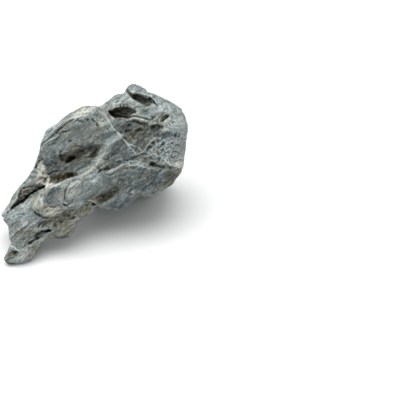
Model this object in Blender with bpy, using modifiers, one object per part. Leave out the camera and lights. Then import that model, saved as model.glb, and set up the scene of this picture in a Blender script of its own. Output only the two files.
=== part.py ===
"""A seiryu stone: one craggy boulder of blue-grey limestone that stands on a forefoot and two heels.

The stone's broad face leans back from the vertical, and it is laid out in face coordinates, in
millimetres: u runs right along the face, v runs up it, and w runs straight back into the stone.
The silhouette and all that is carved in the face are drawn as they appear on the face's plane
(w = 0) from the point EYE in front of it.
"""

import math

import bmesh
import bpy
import numpy as np
from mathutils import Matrix, Vector, noise
from mathutils.bvhtree import BVHTree

MM = 0.001

# Driving dimensions, in millimetres and degrees
FACE_LEAN = 32.0  # how far the broad face leans back from the vertical
FOOT_W = -15.0  # where the ground meets the face's line v = 0
BEDDING_TURN = 36.0  # the bedding climbs to the right across the face at this angle
NOISE_SEED = 6
BODY_VOXEL = 2.0
SKIN_VOXEL = 1.3
BODY_RELAX = 16  # smoothing steps that round the masses into one another
TRIANGLES = 9400
EYE = np.array([199.0, 65.0, -1111.0])
GROUND_SNAP = 1e-7  # metres
TIE = 1e-9  # two stretches of a path this close to equally far count as equally far
STONE_COLOUR = (0.165, 0.185, 0.185, 1.0)
STONE_ROUGHNESS = 0.85
RIM_SHARE = 3  # how strongly the fit to the silhouette favours the rim over the middle
RIM_SECTORS = 300  # the fit looks for the rim in so many directions
RIM_BLUR = np.array([1, 2, 3, 2, 1]) / 9  # and evens it over neighbouring directions
OUTLINE_STEPS = 12  # points along each side of the silhouette

# The silhouette, (u, v), from the forefoot's toe clockwise
OUTLINE = [
    (2, 5), (7, 16), (7, 34), (6, 40), (1, 46), (0, 50), (11, 69), (18, 79), (26, 88), (31, 95),
    (35, 104), (38, 113), (39, 120), (42, 128), (45, 135), (57, 142), (63, 148), (71, 154),
    (82, 159), (99, 160), (107, 165), (114, 171), (124, 174), (127, 179), (132, 182), (138, 180),
    (146, 175), (157, 170), (166, 166), (174, 162), (181, 156), (185, 149), (187, 141),
    (187, 133), (186, 123), (184, 109), (183, 101), (181, 93), (177, 88), (172, 81), (166, 76),
    (160, 72), (152, 68), (138, 68), (128, 60), (120, 54), (109, 53), (100, 55), (95, 59),
    (93, 54), (85, 48), (78, 42), (73, 34), (69, 28), (61, 26), (51, 26), (45, 23), (38, 17),
    (32, 9), (29, 3), (24, 1), (16, 0), (7, 1),
]
OUTLINE_CENTRE = (87, 100)

# Masses: centre (u, v, w), half sizes along the bedding, across it and in depth, turn in the face
MASSES = {
    "bulk": ((132, 114, 48), (57, 50, 48), 20),
    "crown": ((148, 136, 68), (46, 32, 38), -24),
    "lip": ((160, 160, 62), (36, 9, 12), -30),
    "head": ((73, 122, 27), (42, 30, 34), 30),
    "shoulder": ((104, 136, 46), (46, 26, 38), 32),
    "belly": ((124, 82, 29), (62, 27, 38), 10),
    "plate": ((68, 74, 0), (42, 19, 24), 32),
    "leg": ((50, 36, 0), (48, 21, 18), 38),
    "forefoot": ((20, 14, -8), (19, 14, 15), 40),
    "shin": ((23, 38, 0), (28, 18, 16), 76),
    "fin": ((28, 76, 18), (36, 10, 14), 52),
    "crust": ((44, 92, 14), (16, 12, 16), 60),
    "right_heel": ((155, 90, 97), (35, 31, 34), 0),
    "left_heel": ((92, 90, 91), (44, 32, 37), 20),
}

# Broken faces on the far side: a point (x, y, z) on each and the way it looks out
FACETS = {
    "rear": ((110, 162, 60), (0.05, 1.0, 0.1)),
    "rear_right": ((174, 140, 70), (0.9, 0.75, 0.1)),
    "rear_left": ((50, 116, 80), (-0.7, 0.75, 0.25)),
    "rear_top": ((128, 132, 100), (-0.15, 0.7, 0.85)),
    "rear_foot": ((120, 148, 20), (-0.35, 0.9, -0.5)),
    "right": ((183, 100, 50), (1.0, 0.05, -0.3)),
    "heel_gap": ((130, 118, 8), (0.1, -0.75, -0.8)),
    "left_foot": ((58, 108, 30), (-0.9, 0.3, -0.4)),
}
FACET_DEPTH = 38.0  # how far behind the face the broken faces begin
FACET_FADE = 22.0
FACET_PRESS = 0.85  # how much of what stands out past a broken face is pressed back

# Scallops: their size along the bedding, across it and in depth, their height, and how much gentler
# they are on the broad face
SCALLOPS = [
    ((54, 25, 36), 13.0, 0.65),
    ((25, 11, 17), 5.5, 0.45),
    ((15, 7, 10), 2.6, 0.25),
]
SCALLOP_LEVEL = 0.58  # the distance from a scallop's middle at which the skin stays where it was
DRIFT = 12.0  # how far the scallops wander off the bedding
DRIFT_SIZE = 34.0
SCALLOP_FRONT = 1.6  # how soon the skin counts as the broad face, as it turns towards it
CARVED_FRONT = 1.8

# Ledges: the edge's line with the low side on its right, the drop at the edge, how far the low side
# takes to climb back, how far the high side swells up to the edge, and from how far
LEDGES = {
    "plate_over_leg": (
        [(47, 78), (34, 63), (35, 55), (45, 49), (58, 52), (68, 57), (80, 59), (94, 63)],
        6, 17, 1, 10,
    ),
    "belly_crest": (
        [
            (182, 99), (161, 101), (147, 99), (134, 103), (117, 97), (99, 93), (88, 88), (70, 82), (54, 79),
        ],
        4, 11, 4, 24,
    ),
    "crown_edge": (
        [(172, 148), (161, 143), (152, 141), (147, 143), (141, 147), (132, 149), (124, 147), (110, 149)],
        6, 24, 6, 34,
    ),
    "head_top": (
        [(103, 136), (100, 142), (94, 147), (86, 149), (75, 149), (62, 145), (50, 139), (42, 130)],
        4, 12, 2, 20,
    ),
    "upper_brow": (
        [(46, 108), (57, 109), (66, 113), (75, 117), (85, 119), (97, 121), (103, 126)],
        5, 12, 2, 14,
    ),
    "lower_brow": ([(48, 93), (60, 91), (68, 94), (76, 97), (86, 102)], 5, 10, 2, 8),
    "side_brow": ([(96, 95), (104, 99), (112, 103), (124, 108)], 3, 8, 1, 8),
    "lip_foot": ([(121, 178), (127, 172), (136, 170), (147, 167), (156, 160), (164, 154)], 4, 9, 2, 8),
}

# Rolls raised along a line: the line, half width, height
ROLLS = {
    "spine": (
        [(46, 78), (60, 84), (72, 89), (87, 96), (95, 104), (102, 114), (112, 122), (126, 131)],
        7, 4.5,
    ),
    "gully_floor": ([(56, 96), (66, 99), (78, 104), (88, 110)], 5, 3),
    "face_rib": ([(104, 143), (118, 134), (132, 124), (146, 112)], 8, 2),
    "belly_fold": ([(92, 78), (112, 84), (134, 86), (158, 84)], 9, 2.5),
    "shin_fold": ([(14, 22), (26, 38), (44, 50), (62, 54)], 6, 2),
}

# Bowls sunk into the face: centre (u, v), half length, half width, turn, depth
BOWLS = {
    "upper_gully": ((80, 111), 26, 9, 16, 10),
    "gully_bed": ((92, 106), 24, 8, 42, 5),
    "lower_gully": ((64, 86), 18, 7, 18, 8),
    "side_hollow": ((107, 97), 15, 5, 26, 5),
    "belly_hollow": ((106, 70), 16, 7, 22, 7),
    "right_hollow": ((152, 103), 13, 5, -6, 4),
    "crown_dip": ((150, 152), 26, 8, -25, 5),
    "shoulder_dip": ((101, 154), 18, 6, 48, 3),
}

EDGE_WAVERS = [(2.5, 14.0), (1.2, 5.0)]  # how far what is carved in the face wanders, and how often

# Open pits: the mouth's outline, (u, v), how deep they reach, and how far their floor slips aside
PITS = {
    "eye": (
        [
            (107, 154), (111, 149), (115, 148), (123, 147.5), (126, 146.5), (130, 150), (137, 153.5),
            (131, 157), (126, 158.5), (116, 157),
        ],
        13, (-3, -4),
    ),
    "lip_pit": (
        [
            (129, 170), (133, 166), (138, 162), (144, 159), (150, 159.5), (157, 159), (149, 167.5),
            (142, 168.5), (134, 171),
        ],
        9, (1, 3),
    ),
    "nostril": ([(65, 102.5), (66, 106), (70, 109), (74.5, 108.5), (73, 105.5), (68, 102)], 10, (0, 2)),
    "gully_pit": (
        [(55, 84), (55.5, 88), (61, 90.5), (67, 92), (75, 91.5), (71, 88.5), (65, 86), (59, 83.5)],
        8, (0, 2),
    ),
    "side_pit": ([(97, 93), (98, 96), (103, 97), (107, 98), (103, 94), (99.5, 92)], 6, (-1, 1)),
    "crest_pit": ([(147.5, 99.5), (148, 102), (153, 102.5), (162, 99), (159, 96.5), (151, 98)], 5, (0, 1)),
    "leg_slot": (
        [
            (26.5, 20), (29, 23.5), (33, 26.5), (35.5, 31), (40, 34), (51, 35.5), (46, 32), (40, 28.5),
            (36, 25.5), (30.5, 21),
        ],
        7, (0, 1),
    ),
    "cleft": (
        [
            (45, 80.5), (37, 79.5), (31, 79), (21, 77.5), (17, 71), (16, 65), (11, 59.5), (5, 53), (8, 52),
            (14, 58), (20, 61.5), (24, 64), (25, 67), (33, 72.5), (39, 75), (44, 78),
        ],
        13, (2, -3),
    ),
    "crown_pit": ([(158.5, 142.5), (161, 147.5), (166, 151.5), (168.5, 149), (163.5, 144.5)], 4, (0, 0)),
}
PIT_MOUTH = 8.0  # how far a pit's cutter stands out in front of the skin
PIT_INSET = 0.9  # the skin's depth round a pit is read this far out towards its outline
PIT_RINGS = [(0.0, 1.0), (0.45, 0.92), (0.8, 0.7), (1.0, 0.35)]  # share of the depth, share of the mouth

LEAN = math.radians(FACE_LEAN)
U_AXIS = Vector((1, 0, 0))
V_AXIS = Vector((0, math.sin(LEAN), math.cos(LEAN)))
W_AXIS = Vector((0, math.cos(LEAN), -math.sin(LEAN)))
FACE = Matrix((U_AXIS, V_AXIS, W_AXIS)).transposed()
FOOT = W_AXIS * FOOT_W


def to_world(points):
    """Face coordinates in millimetres to metres, with the ground at z = 0."""
    return (points @ np.array(FACE).T - np.array(FOOT)) * MM


def to_face(points):
    return (points / MM + np.array(FOOT)) @ np.array(FACE)


def to_sight(points):
    """Where face points appear on the face's plane, (u, v), from the eye."""
    depth = (points[:, 2] - EYE[2]) / -EYE[2]
    return EYE[:2] + (points[:, :2] - EYE[:2]) / depth[:, None]


def from_sight(flat, w):
    """The face points at depth w that appear at (u, v) from the eye."""
    depth = (w - EYE[2]) / -EYE[2]
    return np.column_stack([EYE[:2] + (flat - EYE[:2]) * depth[:, None], w])


def clear_scene():
    for obj in list(bpy.data.objects):
        bpy.data.objects.remove(obj, do_unlink=True)


def points_of(mesh):
    points = np.empty(len(mesh.vertices) * 3)
    mesh.vertices.foreach_get("co", points)
    return points.reshape(-1, 3)


def set_points(mesh, points):
    mesh.vertices.foreach_set("co", points.ravel())
    mesh.update()


def normals_of(mesh):
    normals = np.empty(len(mesh.vertices) * 3)
    mesh.vertex_normals.foreach_get("vector", normals)
    return normals.reshape(-1, 3)


def apply_modifiers(obj):
    graph = bpy.context.evaluated_depsgraph_get()
    mesh = bpy.data.meshes.new_from_object(obj.evaluated_get(graph))
    obj.modifiers.clear()
    obj.data = mesh


def remesh(obj, voxel, smoothing):
    """Fuses what overlaps into one skin of even quads, and smooths it."""
    modifier = obj.modifiers.new("fuse", "REMESH")
    modifier.mode = "VOXEL"
    modifier.voxel_size = voxel * MM
    if smoothing:
        relax = obj.modifiers.new("relax", "SMOOTH")
        relax.factor = 0.5
        relax.iterations = smoothing
    apply_modifiers(obj)


def smooth_step(x):
    x = np.clip(x, 0, 1)
    return x * x * (3 - 2 * x)


def lump(bm, centre, half_sizes, turn, squareness=3.2):
    """Adds a rounded block: a sphere stretched to its half sizes, a little squarer than an ellipsoid."""
    made = bmesh.ops.create_icosphere(bm, subdivisions=4, radius=1.0)
    turned = Matrix.Rotation(math.radians(turn), 3, "Z")
    for vert in made["verts"]:
        reach = sum(abs(x) ** squareness for x in vert.co) ** (1 / squareness)
        local = Vector(x / reach * size for x, size in zip(vert.co, half_sizes))
        vert.co = (FACE @ (turned @ local + Vector(centre)) - FOOT) * MM


def break_facets(points):
    """Presses what stands out past each broken face back to it, but for a slight bulge."""
    behind = smooth_step((to_face(points)[:, 2] - FACET_DEPTH) / FACET_FADE)
    for on_face, way in FACETS.values():
        way = np.array(Vector(way).normalized())
        excess = (points / MM - on_face) @ way
        pressed = np.maximum(excess, 0) * FACET_PRESS * behind
        points = points - pressed[:, None] * way * MM
    return points


def outline_reach(angles):
    """How far the silhouette lies from OUTLINE_CENTRE in each direction."""
    corners = np.array(OUTLINE + OUTLINE[:1], float) - OUTLINE_CENTRE
    along = np.linspace(0, 1, OUTLINE_STEPS, endpoint=False)[:, None]
    edge = np.vstack([a + (b - a) * along for a, b in zip(corners[:-1], corners[1:])])
    edge = edge[np.argsort(np.arctan2(edge[:, 1], edge[:, 0]))]
    edge_angles = np.arctan2(edge[:, 1], edge[:, 0])
    return np.interp(angles, edge_angles, np.hypot(*edge.T), period=2 * math.pi)


def fit_outline(points):
    """Draws the rim in or out across the face, direction by direction, until the silhouette is OUTLINE."""
    flat = to_sight(points) - OUTLINE_CENTRE
    angles = np.arctan2(flat[:, 1], flat[:, 0])
    reach = np.hypot(*flat.T)
    sector = ((angles + math.pi) / (2 * math.pi) * RIM_SECTORS).astype(int) % RIM_SECTORS
    widest = np.zeros(RIM_SECTORS)
    np.maximum.at(widest, sector, reach)
    widest = np.pad(widest, len(RIM_BLUR) // 2, mode="wrap")
    widest = np.convolve(widest, RIM_BLUR, mode="valid")
    middles = (np.arange(RIM_SECTORS) + 0.5) / RIM_SECTORS * 2 * math.pi - math.pi
    body_reach = np.interp(angles, middles, widest, period=2 * math.pi)
    towards_rim = np.clip(reach / body_reach, 0, 1) ** RIM_SHARE
    stretch = 1 + (outline_reach(angles) / body_reach - 1) * towards_rim
    return from_sight(OUTLINE_CENTRE + flat * stretch[:, None], points[:, 2])


def build_body():
    mesh = bpy.data.meshes.new("seiryu_stone")
    bm = bmesh.new()
    for centre, half_sizes, turn in MASSES.values():
        lump(bm, centre, half_sizes, turn)
    bm.to_mesh(mesh)
    bm.free()
    body = bpy.data.objects.new("seiryu_stone", mesh)
    bpy.data.collections["seiryu_stone"].objects.link(body)
    remesh(body, BODY_VOXEL, BODY_RELAX)
    set_points(body.data, break_facets(points_of(body.data)))
    remesh(body, SKIN_VOXEL, 2)
    roughen(body)
    remesh(body, SKIN_VOXEL, 1)
    for _ in range(2):
        set_points(body.data, to_world(fit_outline(to_face(points_of(body.data)))))
        remesh(body, SKIN_VOXEL, 0)
    return body


def roughen(body):
    """Weathers the whole skin: scallops between sharp arrises, in three sizes, drawn out along the
    bedding and gentler on the broad face."""
    points = points_of(body.data)
    face = to_face(points)
    turn = math.radians(BEDDING_TURN)
    along = face[:, 0] * math.cos(turn) + face[:, 1] * math.sin(turn)
    across = face[:, 1] * math.cos(turn) - face[:, 0] * math.sin(turn)
    front = np.clip(-(normals_of(body.data) @ np.array(W_AXIS)) * SCALLOP_FRONT, 0, 1)
    depth = np.zeros(len(points))
    for i, (a, c, w) in enumerate(zip(along, across, face[:, 2])):
        spot = Vector((a, c, w)) + noise.noise_vector(Vector((a, c, w)) / DRIFT_SIZE) * DRIFT
        for (length, breadth, thickness), height, gentle in SCALLOPS:
            cell = Vector((spot.x / length, spot.y / breadth, spot.z / thickness))
            nearest = noise.voronoi(cell)[0][0]
            depth[i] += height * (nearest - SCALLOP_LEVEL) * (1 - gentle * front[i])
    set_points(body.data, points + normals_of(body.data) * depth[:, None] * MM)


def path_distance(flat, path):
    """For each (u, v): the distance to the path, the side of it (1 left, -1 right), and how far the
    nearest point is from the path's nearer end."""
    ends = np.array(path, float)
    lengths = np.hypot(*np.diff(ends, axis=0).T)
    starts = np.concatenate([[0], np.cumsum(lengths)])
    best = np.full(len(flat), np.inf)
    side = np.ones(len(flat))
    run = np.zeros(len(flat))
    for a, b, length, start in zip(ends[:-1], ends[1:], lengths, starts):
        along = (b - a) / length
        share = np.clip((flat - a) @ along, 0, length)
        distance = np.hypot(*(flat - (a + share[:, None] * along)).T)
        nearer = distance < best - TIE
        best = np.where(nearer, distance, best)
        cross = along[0] * (flat - a)[:, 1] - along[1] * (flat - a)[:, 0]
        side = np.where(nearer, np.where(cross < 0, -1, 1), side)
        run = np.where(nearer, start + share, run)
    return best, side, np.minimum(run, starts[-1] - run)


def cut_ledge(flat, path, drop, reach, swell, swell_reach, edge=2.5, fade=14.0):
    """The push into the stone beside a ledge: the high side swells up to the edge, and the low side
    drops at once and climbs back over reach."""
    distance, side, to_end = path_distance(flat, path)
    high = -swell * np.clip(1 - distance / swell_reach, 0, 1) ** 1.5
    low = (drop + swell) * smooth_step(distance / edge) - swell
    low *= 1 - smooth_step(distance / reach)
    return np.where(side < 0, low, high) * smooth_step(to_end / fade)


def raise_roll(flat, path, half_width, height, fade=14.0):
    distance, _, to_end = path_distance(flat, path)
    return height * (1 - smooth_step(distance / half_width)) * smooth_step(to_end / fade)


def oval(flat, centre, half_length, half_width, turn):
    """How far each (u, v) lies from an oval's centre, 1 on its rim."""
    cos, sin = math.cos(math.radians(turn)), math.sin(math.radians(turn))
    offset = flat - centre
    along = (offset[:, 0] * cos + offset[:, 1] * sin) / half_length
    across = (offset[:, 1] * cos - offset[:, 0] * sin) / half_width
    return np.hypot(along, across)


def sink_bowl(flat, centre, half_length, half_width, turn, depth):
    return depth * np.clip(1 - oval(flat, centre, half_length, half_width, turn) ** 2, 0, 1) ** 1.5


def waver(points, strength, size):
    """A gentle wander in (u, v), so that no edge carved in the stone runs straight."""
    return np.array([noise.noise_vector(Vector(p / size))[:2] for p in points]) * strength


def carve_face(body):
    points = to_face(points_of(body.data))
    flat = to_sight(points)
    for strength, size in EDGE_WAVERS:
        flat = flat + waver(points, strength, size)
    push = np.zeros(len(points))
    for ledge in LEDGES.values():
        push += cut_ledge(flat, *ledge)
    for path, half_width, height in ROLLS.values():
        push -= raise_roll(flat, path, half_width, height)
    for bowl in BOWLS.values():
        push += sink_bowl(flat, *bowl)
    front = np.clip(-(normals_of(body.data) @ np.array(W_AXIS)) * CARVED_FRONT, 0, 1)
    points[:, 2] += push * front
    set_points(body.data, to_world(points))


def cut_pits(body):
    """Digs the pits with one tool: pockets that narrow as they go in along the line of sight."""
    skin = BVHTree.FromObject(body, bpy.context.evaluated_depsgraph_get())
    bm = bmesh.new()
    for outline, depth, slip in PITS.values():
        outline = np.array(outline)
        centre = outline.mean(axis=0)
        skin_w = np.array([skin_depth(skin, centre + (spot - centre) * PIT_INSET) for spot in outline])
        rings = [from_sight(outline, skin_w - PIT_MOUTH)]
        for inwards, width in PIT_RINGS:
            flat = centre + (outline - centre) * width + np.array(slip) * inwards
            rings.append(from_sight(flat, skin_w + inwards * depth))
        rings = [[bm.verts.new(spot) for spot in to_world(ring)] for ring in rings]
        for ring, deeper in zip(rings, rings[1:]):
            for i in range(len(ring)):
                bm.faces.new((ring[i - 1], ring[i], deeper[i], deeper[i - 1]))
        caps = [bm.faces.new(rings[0]), bm.faces.new(rings[-1])]
        bmesh.ops.triangulate(bm, faces=caps, ngon_method="EAR_CLIP")
    bmesh.ops.recalc_face_normals(bm, faces=bm.faces)
    mesh = bpy.data.meshes.new("pit_cutter")
    bm.to_mesh(mesh)
    bm.free()
    cut(body, add_cutter("pit_cutter", mesh))


def skin_depth(skin, flat):
    """How deep the skin lies, w, on the line of sight through (u, v)."""
    eye = Vector(to_world(EYE))
    aim = Vector(to_world(np.array([*flat, 0.0])))
    hit = skin.ray_cast(eye, aim - eye)[0]
    return to_face(np.array(hit))[2]


def add_cutter(name, mesh):
    cutter = bpy.data.objects.new(name, mesh)
    cutter.hide_render = True
    cutter.display_type = "WIRE"
    bpy.data.collections["cutters"].objects.link(cutter)
    return cutter


def cut(body, cutter):
    modifier = body.modifiers.new(cutter.name, "BOOLEAN")
    modifier.operation = "DIFFERENCE"
    modifier.solver = "EXACT"
    modifier.object = cutter
    apply_modifiers(body)


def cut_ground(body):
    """Takes off all that lies below the ground, which leaves a flat sole under each foot."""
    bm = bmesh.new()
    bmesh.ops.create_cube(bm, size=1.0)
    bmesh.ops.translate(bm, verts=bm.verts, vec=(0, 0, -0.5))
    mesh = bpy.data.meshes.new("ground_cutter")
    bm.to_mesh(mesh)
    bm.free()
    cut(body, add_cutter("ground_cutter", mesh))


def thin_out(body):
    modifier = body.modifiers.new("thin", "DECIMATE")
    modifier.ratio = TRIANGLES / (2 * len(body.data.polygons))
    modifier.use_collapse_triangulate = True
    apply_modifiers(body)


def keep_largest(body):
    """Drops the crumbs and sealed pockets that the cuts leave, so that one closed body remains."""
    bm = bmesh.new()
    bm.from_mesh(body.data)
    unseen = set(bm.verts)
    shells = []
    while unseen:
        shell = {unseen.pop()}
        edge_of_search = list(shell)
        while edge_of_search:
            vert = edge_of_search.pop()
            near = {edge.other_vert(vert) for edge in vert.link_edges} & unseen
            unseen -= near
            shell |= near
            edge_of_search.extend(near)
        shells.append(shell)
    shells.sort(key=len)
    for crumb in shells[:-1]:
        bmesh.ops.delete(bm, geom=list(crumb), context="VERTS")
    bm.to_mesh(body.data)
    bm.free()


def stand_on_origin(body):
    """Moves the stone so that the origin lies on the ground, under the middle of its bounding box."""
    points = points_of(body.data)
    middle = (points.min(axis=0) + points.max(axis=0)) / 2
    middle[2] = 0
    points -= middle
    points[np.abs(points[:, 2]) < GROUND_SNAP, 2] = 0
    set_points(body.data, points)
    for cutter in bpy.data.collections["cutters"].objects:
        cutter.location -= Vector(middle)


def dress(body):
    material = bpy.data.materials.new("seiryu_limestone")
    material.use_nodes = True
    shader = material.node_tree.nodes["Principled BSDF"]
    shader.inputs["Base Color"].default_value = STONE_COLOUR
    shader.inputs["Roughness"].default_value = STONE_ROUGHNESS
    shader.inputs["Metallic"].default_value = 0.0
    body.data.materials.clear()
    body.data.materials.append(material)
    body.data.shade_smooth()


def main():
    clear_scene()
    noise.seed_set(NOISE_SEED)
    for name in ("seiryu_stone", "cutters"):
        bpy.context.scene.collection.children.link(bpy.data.collections.new(name))
    body = build_body()
    carve_face(body)
    cut_pits(body)
    remesh(body, SKIN_VOXEL, 0)
    thin_out(body)
    cut_ground(body)
    keep_largest(body)
    stand_on_origin(body)
    dress(body)


main()
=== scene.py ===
import functools
import math

import bpy
import numpy as np
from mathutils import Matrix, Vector
from mathutils.bvhtree import BVHTree


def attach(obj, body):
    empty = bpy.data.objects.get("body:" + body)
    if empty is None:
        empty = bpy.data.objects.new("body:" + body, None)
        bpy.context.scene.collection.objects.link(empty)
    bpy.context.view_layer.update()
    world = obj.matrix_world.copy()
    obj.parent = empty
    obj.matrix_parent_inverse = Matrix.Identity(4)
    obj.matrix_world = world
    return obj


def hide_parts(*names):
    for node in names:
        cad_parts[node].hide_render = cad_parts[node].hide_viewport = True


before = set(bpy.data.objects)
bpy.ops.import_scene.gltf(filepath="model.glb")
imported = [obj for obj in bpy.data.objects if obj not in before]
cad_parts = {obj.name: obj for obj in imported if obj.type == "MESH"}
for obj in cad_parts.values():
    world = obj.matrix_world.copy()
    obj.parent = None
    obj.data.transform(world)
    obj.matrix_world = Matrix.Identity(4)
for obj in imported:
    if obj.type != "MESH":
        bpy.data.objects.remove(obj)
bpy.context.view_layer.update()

# Face coordinates, in millimetres: u runs right along the stone's broad face, v runs up it, and w
# runs straight back into the stone. What is carved or coloured on the face is drawn as it appears on
# the face's plane (w = 0) from the camera at EYE.

MM = 0.001
FACE_LEAN = math.radians(32.0)  # how far the broad face leans back from the vertical
FOOT_W = -15.0  # the ground passes through v = 0 at this w
ORIGIN = np.array([91.813, 82.603, 0.0])  # the frame's origin, from the foot of the face's left edge
EYE = np.array([199.0, 65.0, -1111.0])
LENS = 100.0
SENSOR = 36.0
VIEW_LEFT = 1.0  # the view's left edge lies this far left of u = 0
VIEW_FOOT = 265.0  # v = 0 appears this far below the view's top edge
BEDDING_TURN = math.radians(36.0)  # the bedding climbs to the right across the face at this angle
BASE_VOXEL = 1.1  # the skin's grid before it is weathered
CARVE_VOXEL = 0.8  # and before it is carved
SKIN_VOXEL = 0.62  # and before it is scored
PIECE_TRIANGLES = 194000
REST_TRIANGLES = 56000  # what is left away from the broad face before the whole skin is thinned
FRONT_DEPTH = 62.0  # what lies deeper than this isn't the broad face
DEPTH_FADE = 12.0
TURN_FADE = 0.5
PIT_WALL = 1.2  # how wide a pit's wall is, seen from the eye
PIT_FADE = 0.8
RIM_STEP = 2.0  # a pit's rim is looked for this far outside its outline
LEAST_BACK = 3.0  # what a pit leaves of the stone behind its floor
SEEN_GAP = 0.003  # metres that a point may lie behind the first skin and still belong to it
FAR_SIDE = 2.0  # metres from the eye to a place well behind the stone
RIM_SPREAD = 9.0  # what lies further than this above or below most of the rim isn't part of it
LEDGE_DROP = 0.9  # how wide a ledge's steep side is
LEDGE_LIP = 2.2  # how wide a ledge's raised edge is
LIP_SHARE = 0.3  # how high that edge is, as a share of the drop
LEDGE_TAPER = 4.0  # a ledge thins out over this length at each end
STROKE_REACH = 1.7  # half widths from a stroke's line to where it ends
STROKE_TAPER = 2.4  # a stroke thins out over this length at each end
STROKE_END = 0.45  # how far along its taper a stroke's very end is
CALM_FADE = 4.0
GROUND_BAND = 5.0  # the weathering grows to its full strength over this height
WIDE_ROUNDS = 60  # rounds of averaging that find the wide hollows
FINE_ROUNDS = 5

# How far, over what length and with which seed what is drawn on the face wanders, so that none of it
# has a ruled edge
CALM_WANDER = ((2.0, 9.0, 45),)
CARVED_WANDER = ((0.8, 5.0, 51), (0.4, 2.0, 55))
FINE_WANDER = ((0.5, 4.0, 61), (0.25, 1.5, 65))
SUGAR_WANDER = ((3.0, 9.0, 71),)
TONE_WANDER = ((1.6, 7.0, 101), (0.7, 2.2, 105))

# The weathering, in millimetres. Sizes in threes run along the bedding, across it and into the stone.
BEND_SIZE = 30
BEND = 6.0
RIBS = (26, 7.0, 14)
RIB_HEIGHT = 0.6
LINES = (11, 2.9, 5.5)
LINE_HEIGHT = 0.36
DENTS = (15, 8, 9)
DENT_DEPTH = 2.0
DENTED_PARTS = 22
SHELF = 15  # from one shelf to the next, across the bedding
SHELF_HEIGHT = 2.6
SHELF_WAVE = 38
STEP = 5.5  # from one small step to the next
STEP_HEIGHT = 0.9
STEP_WAVE = 17
BROKEN_PARTS = 31
BOWLS = (36, 13, 20)
BOWL_DEPTH = 2.2
STREAKS = (6.5, 1.7, 3.0)
STREAK_HEIGHT = 0.33
POCKS = (4.0, 2.6, 3.0)
POCK_DEPTH = 2.2
POCKED_PARTS = 13
KNOTS = (2.4, 1.9, 2.1)
KNOT_HEIGHT = 1.2
LUMPS = 2.2
PIT_LUMPS = (3.5, 2.0, 3.5)
PIT_LUMP_HEIGHT = 0.7
STROKE_PARTS = 4  # strokes deepen and weaken over about this length
BLOTCHES = (8.0, 3.6, 5.0)
BROAD_PATCHES = 26
SMALL_PATCHES = 17
CRACKED_BLOCKS = 47
CRACK_LEVEL = 0.021  # cracks run where the blocks' noise is nearer to 0 than this

U_AXIS = np.array([1.0, 0.0, 0.0])
V_AXIS = np.array([0.0, math.sin(FACE_LEAN), math.cos(FACE_LEAN)])
W_AXIS = np.array([0.0, math.cos(FACE_LEAN), -math.sin(FACE_LEAN)])
FACE = np.array([U_AXIS, V_AXIS, W_AXIS])
FOOT = W_AXIS * FOOT_W


def to_world(points):
    return (points @ FACE - FOOT - ORIGIN) * MM


def to_face(points):
    return (points / MM + ORIGIN + FOOT) @ FACE.T


def to_sight(points):
    """Where face points appear on the face's plane, (u, v), from the eye."""
    depth = (points[:, 2] - EYE[2]) / -EYE[2]
    return EYE[:2] + (points[:, :2] - EYE[:2]) / depth[:, None]


CAMERA_SPOT = Vector(to_world(EYE[None])[0])

# Noise on a lattice that repeats after LATTICE cells

LATTICE = 64


@functools.lru_cache(maxsize=None)
def lattice_randoms(seed):
    """Three random numbers from 0 to 1 for each lattice cell."""
    return np.random.default_rng(seed).random((LATTICE ** 3, 3)).astype(np.float32)


def cell_index(cells):
    wrapped = cells & (LATTICE - 1)
    return (wrapped[:, 0] * LATTICE + wrapped[:, 1]) * LATTICE + wrapped[:, 2]


def gradient_noise(points, seed):
    """Smooth noise from about -1 to 1, with features about one unit across."""
    randoms = lattice_randoms(seed)
    low = np.floor(points)
    cells = low.astype(np.int64)
    inside = (points - low).astype(np.float32)
    ease = inside * inside * inside * (inside * (inside * 6 - 15) + 10)
    weights = (1 - ease, ease)
    total = np.zeros(len(points), np.float32)
    for corner in np.ndindex(2, 2, 2):
        slope = randoms[cell_index(cells + corner)] * 2 - 1
        offset = inside - np.array(corner, np.float32)
        weight = weights[corner[0]][:, 0] * weights[corner[1]][:, 1] * weights[corner[2]][:, 2]
        total += weight * np.einsum("ij,ij->i", slope, offset)
    return total * 1.6


def rough_noise(points, seed, octaves=3, gain=0.5):
    total = np.zeros(len(points))
    height = 1.0
    for octave in range(octaves):
        total += height * gradient_noise(points * 2.03 ** octave, seed + octave)
        height *= gain
    return total


def ridged_noise(points, seed, octaves, gain=0.5):
    """Noise with sharp crests at 1."""
    return 1 - np.abs(rough_noise(points, seed, octaves, gain)) * 2


def nearest_cells(points, seed):
    """The distances from each point to the nearest and second nearest random seeds."""
    randoms = lattice_randoms(seed)
    low = np.floor(points)
    cells = low.astype(np.int64)
    inside = (points - low).astype(np.float32)
    first = np.full(len(points), 9.0, np.float32)
    second = np.full(len(points), 9.0, np.float32)
    for step in np.ndindex(3, 3, 3):
        step = np.array(step) - 1
        offset = randoms[cell_index(cells + step)] + step.astype(np.float32) - inside
        away = np.sqrt(np.einsum("ij,ij->i", offset, offset))
        second = np.minimum(second, np.maximum(first, away))
        first = np.minimum(first, away)
    return first, second


# Masks drawn on the face

def smooth_step(x):
    x = np.clip(x, 0, 1)
    return x * x * (3 - 2 * x)


def px(run):
    """Face plane positions, (u, v), from a run of numbers, x, y, x, y, as the tables give them."""
    return np.array([(x - VIEW_LEFT, VIEW_FOOT - y) for x, y in zip(run[::2], run[1::2])])


def near_path(flat, path, reach):
    """Which of the (u, v) lie in the box round a path, reach wider on every side."""
    low, high = path.min(axis=0) - reach, path.max(axis=0) + reach
    return np.flatnonzero(np.all((flat > low) & (flat < high), axis=1))


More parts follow.
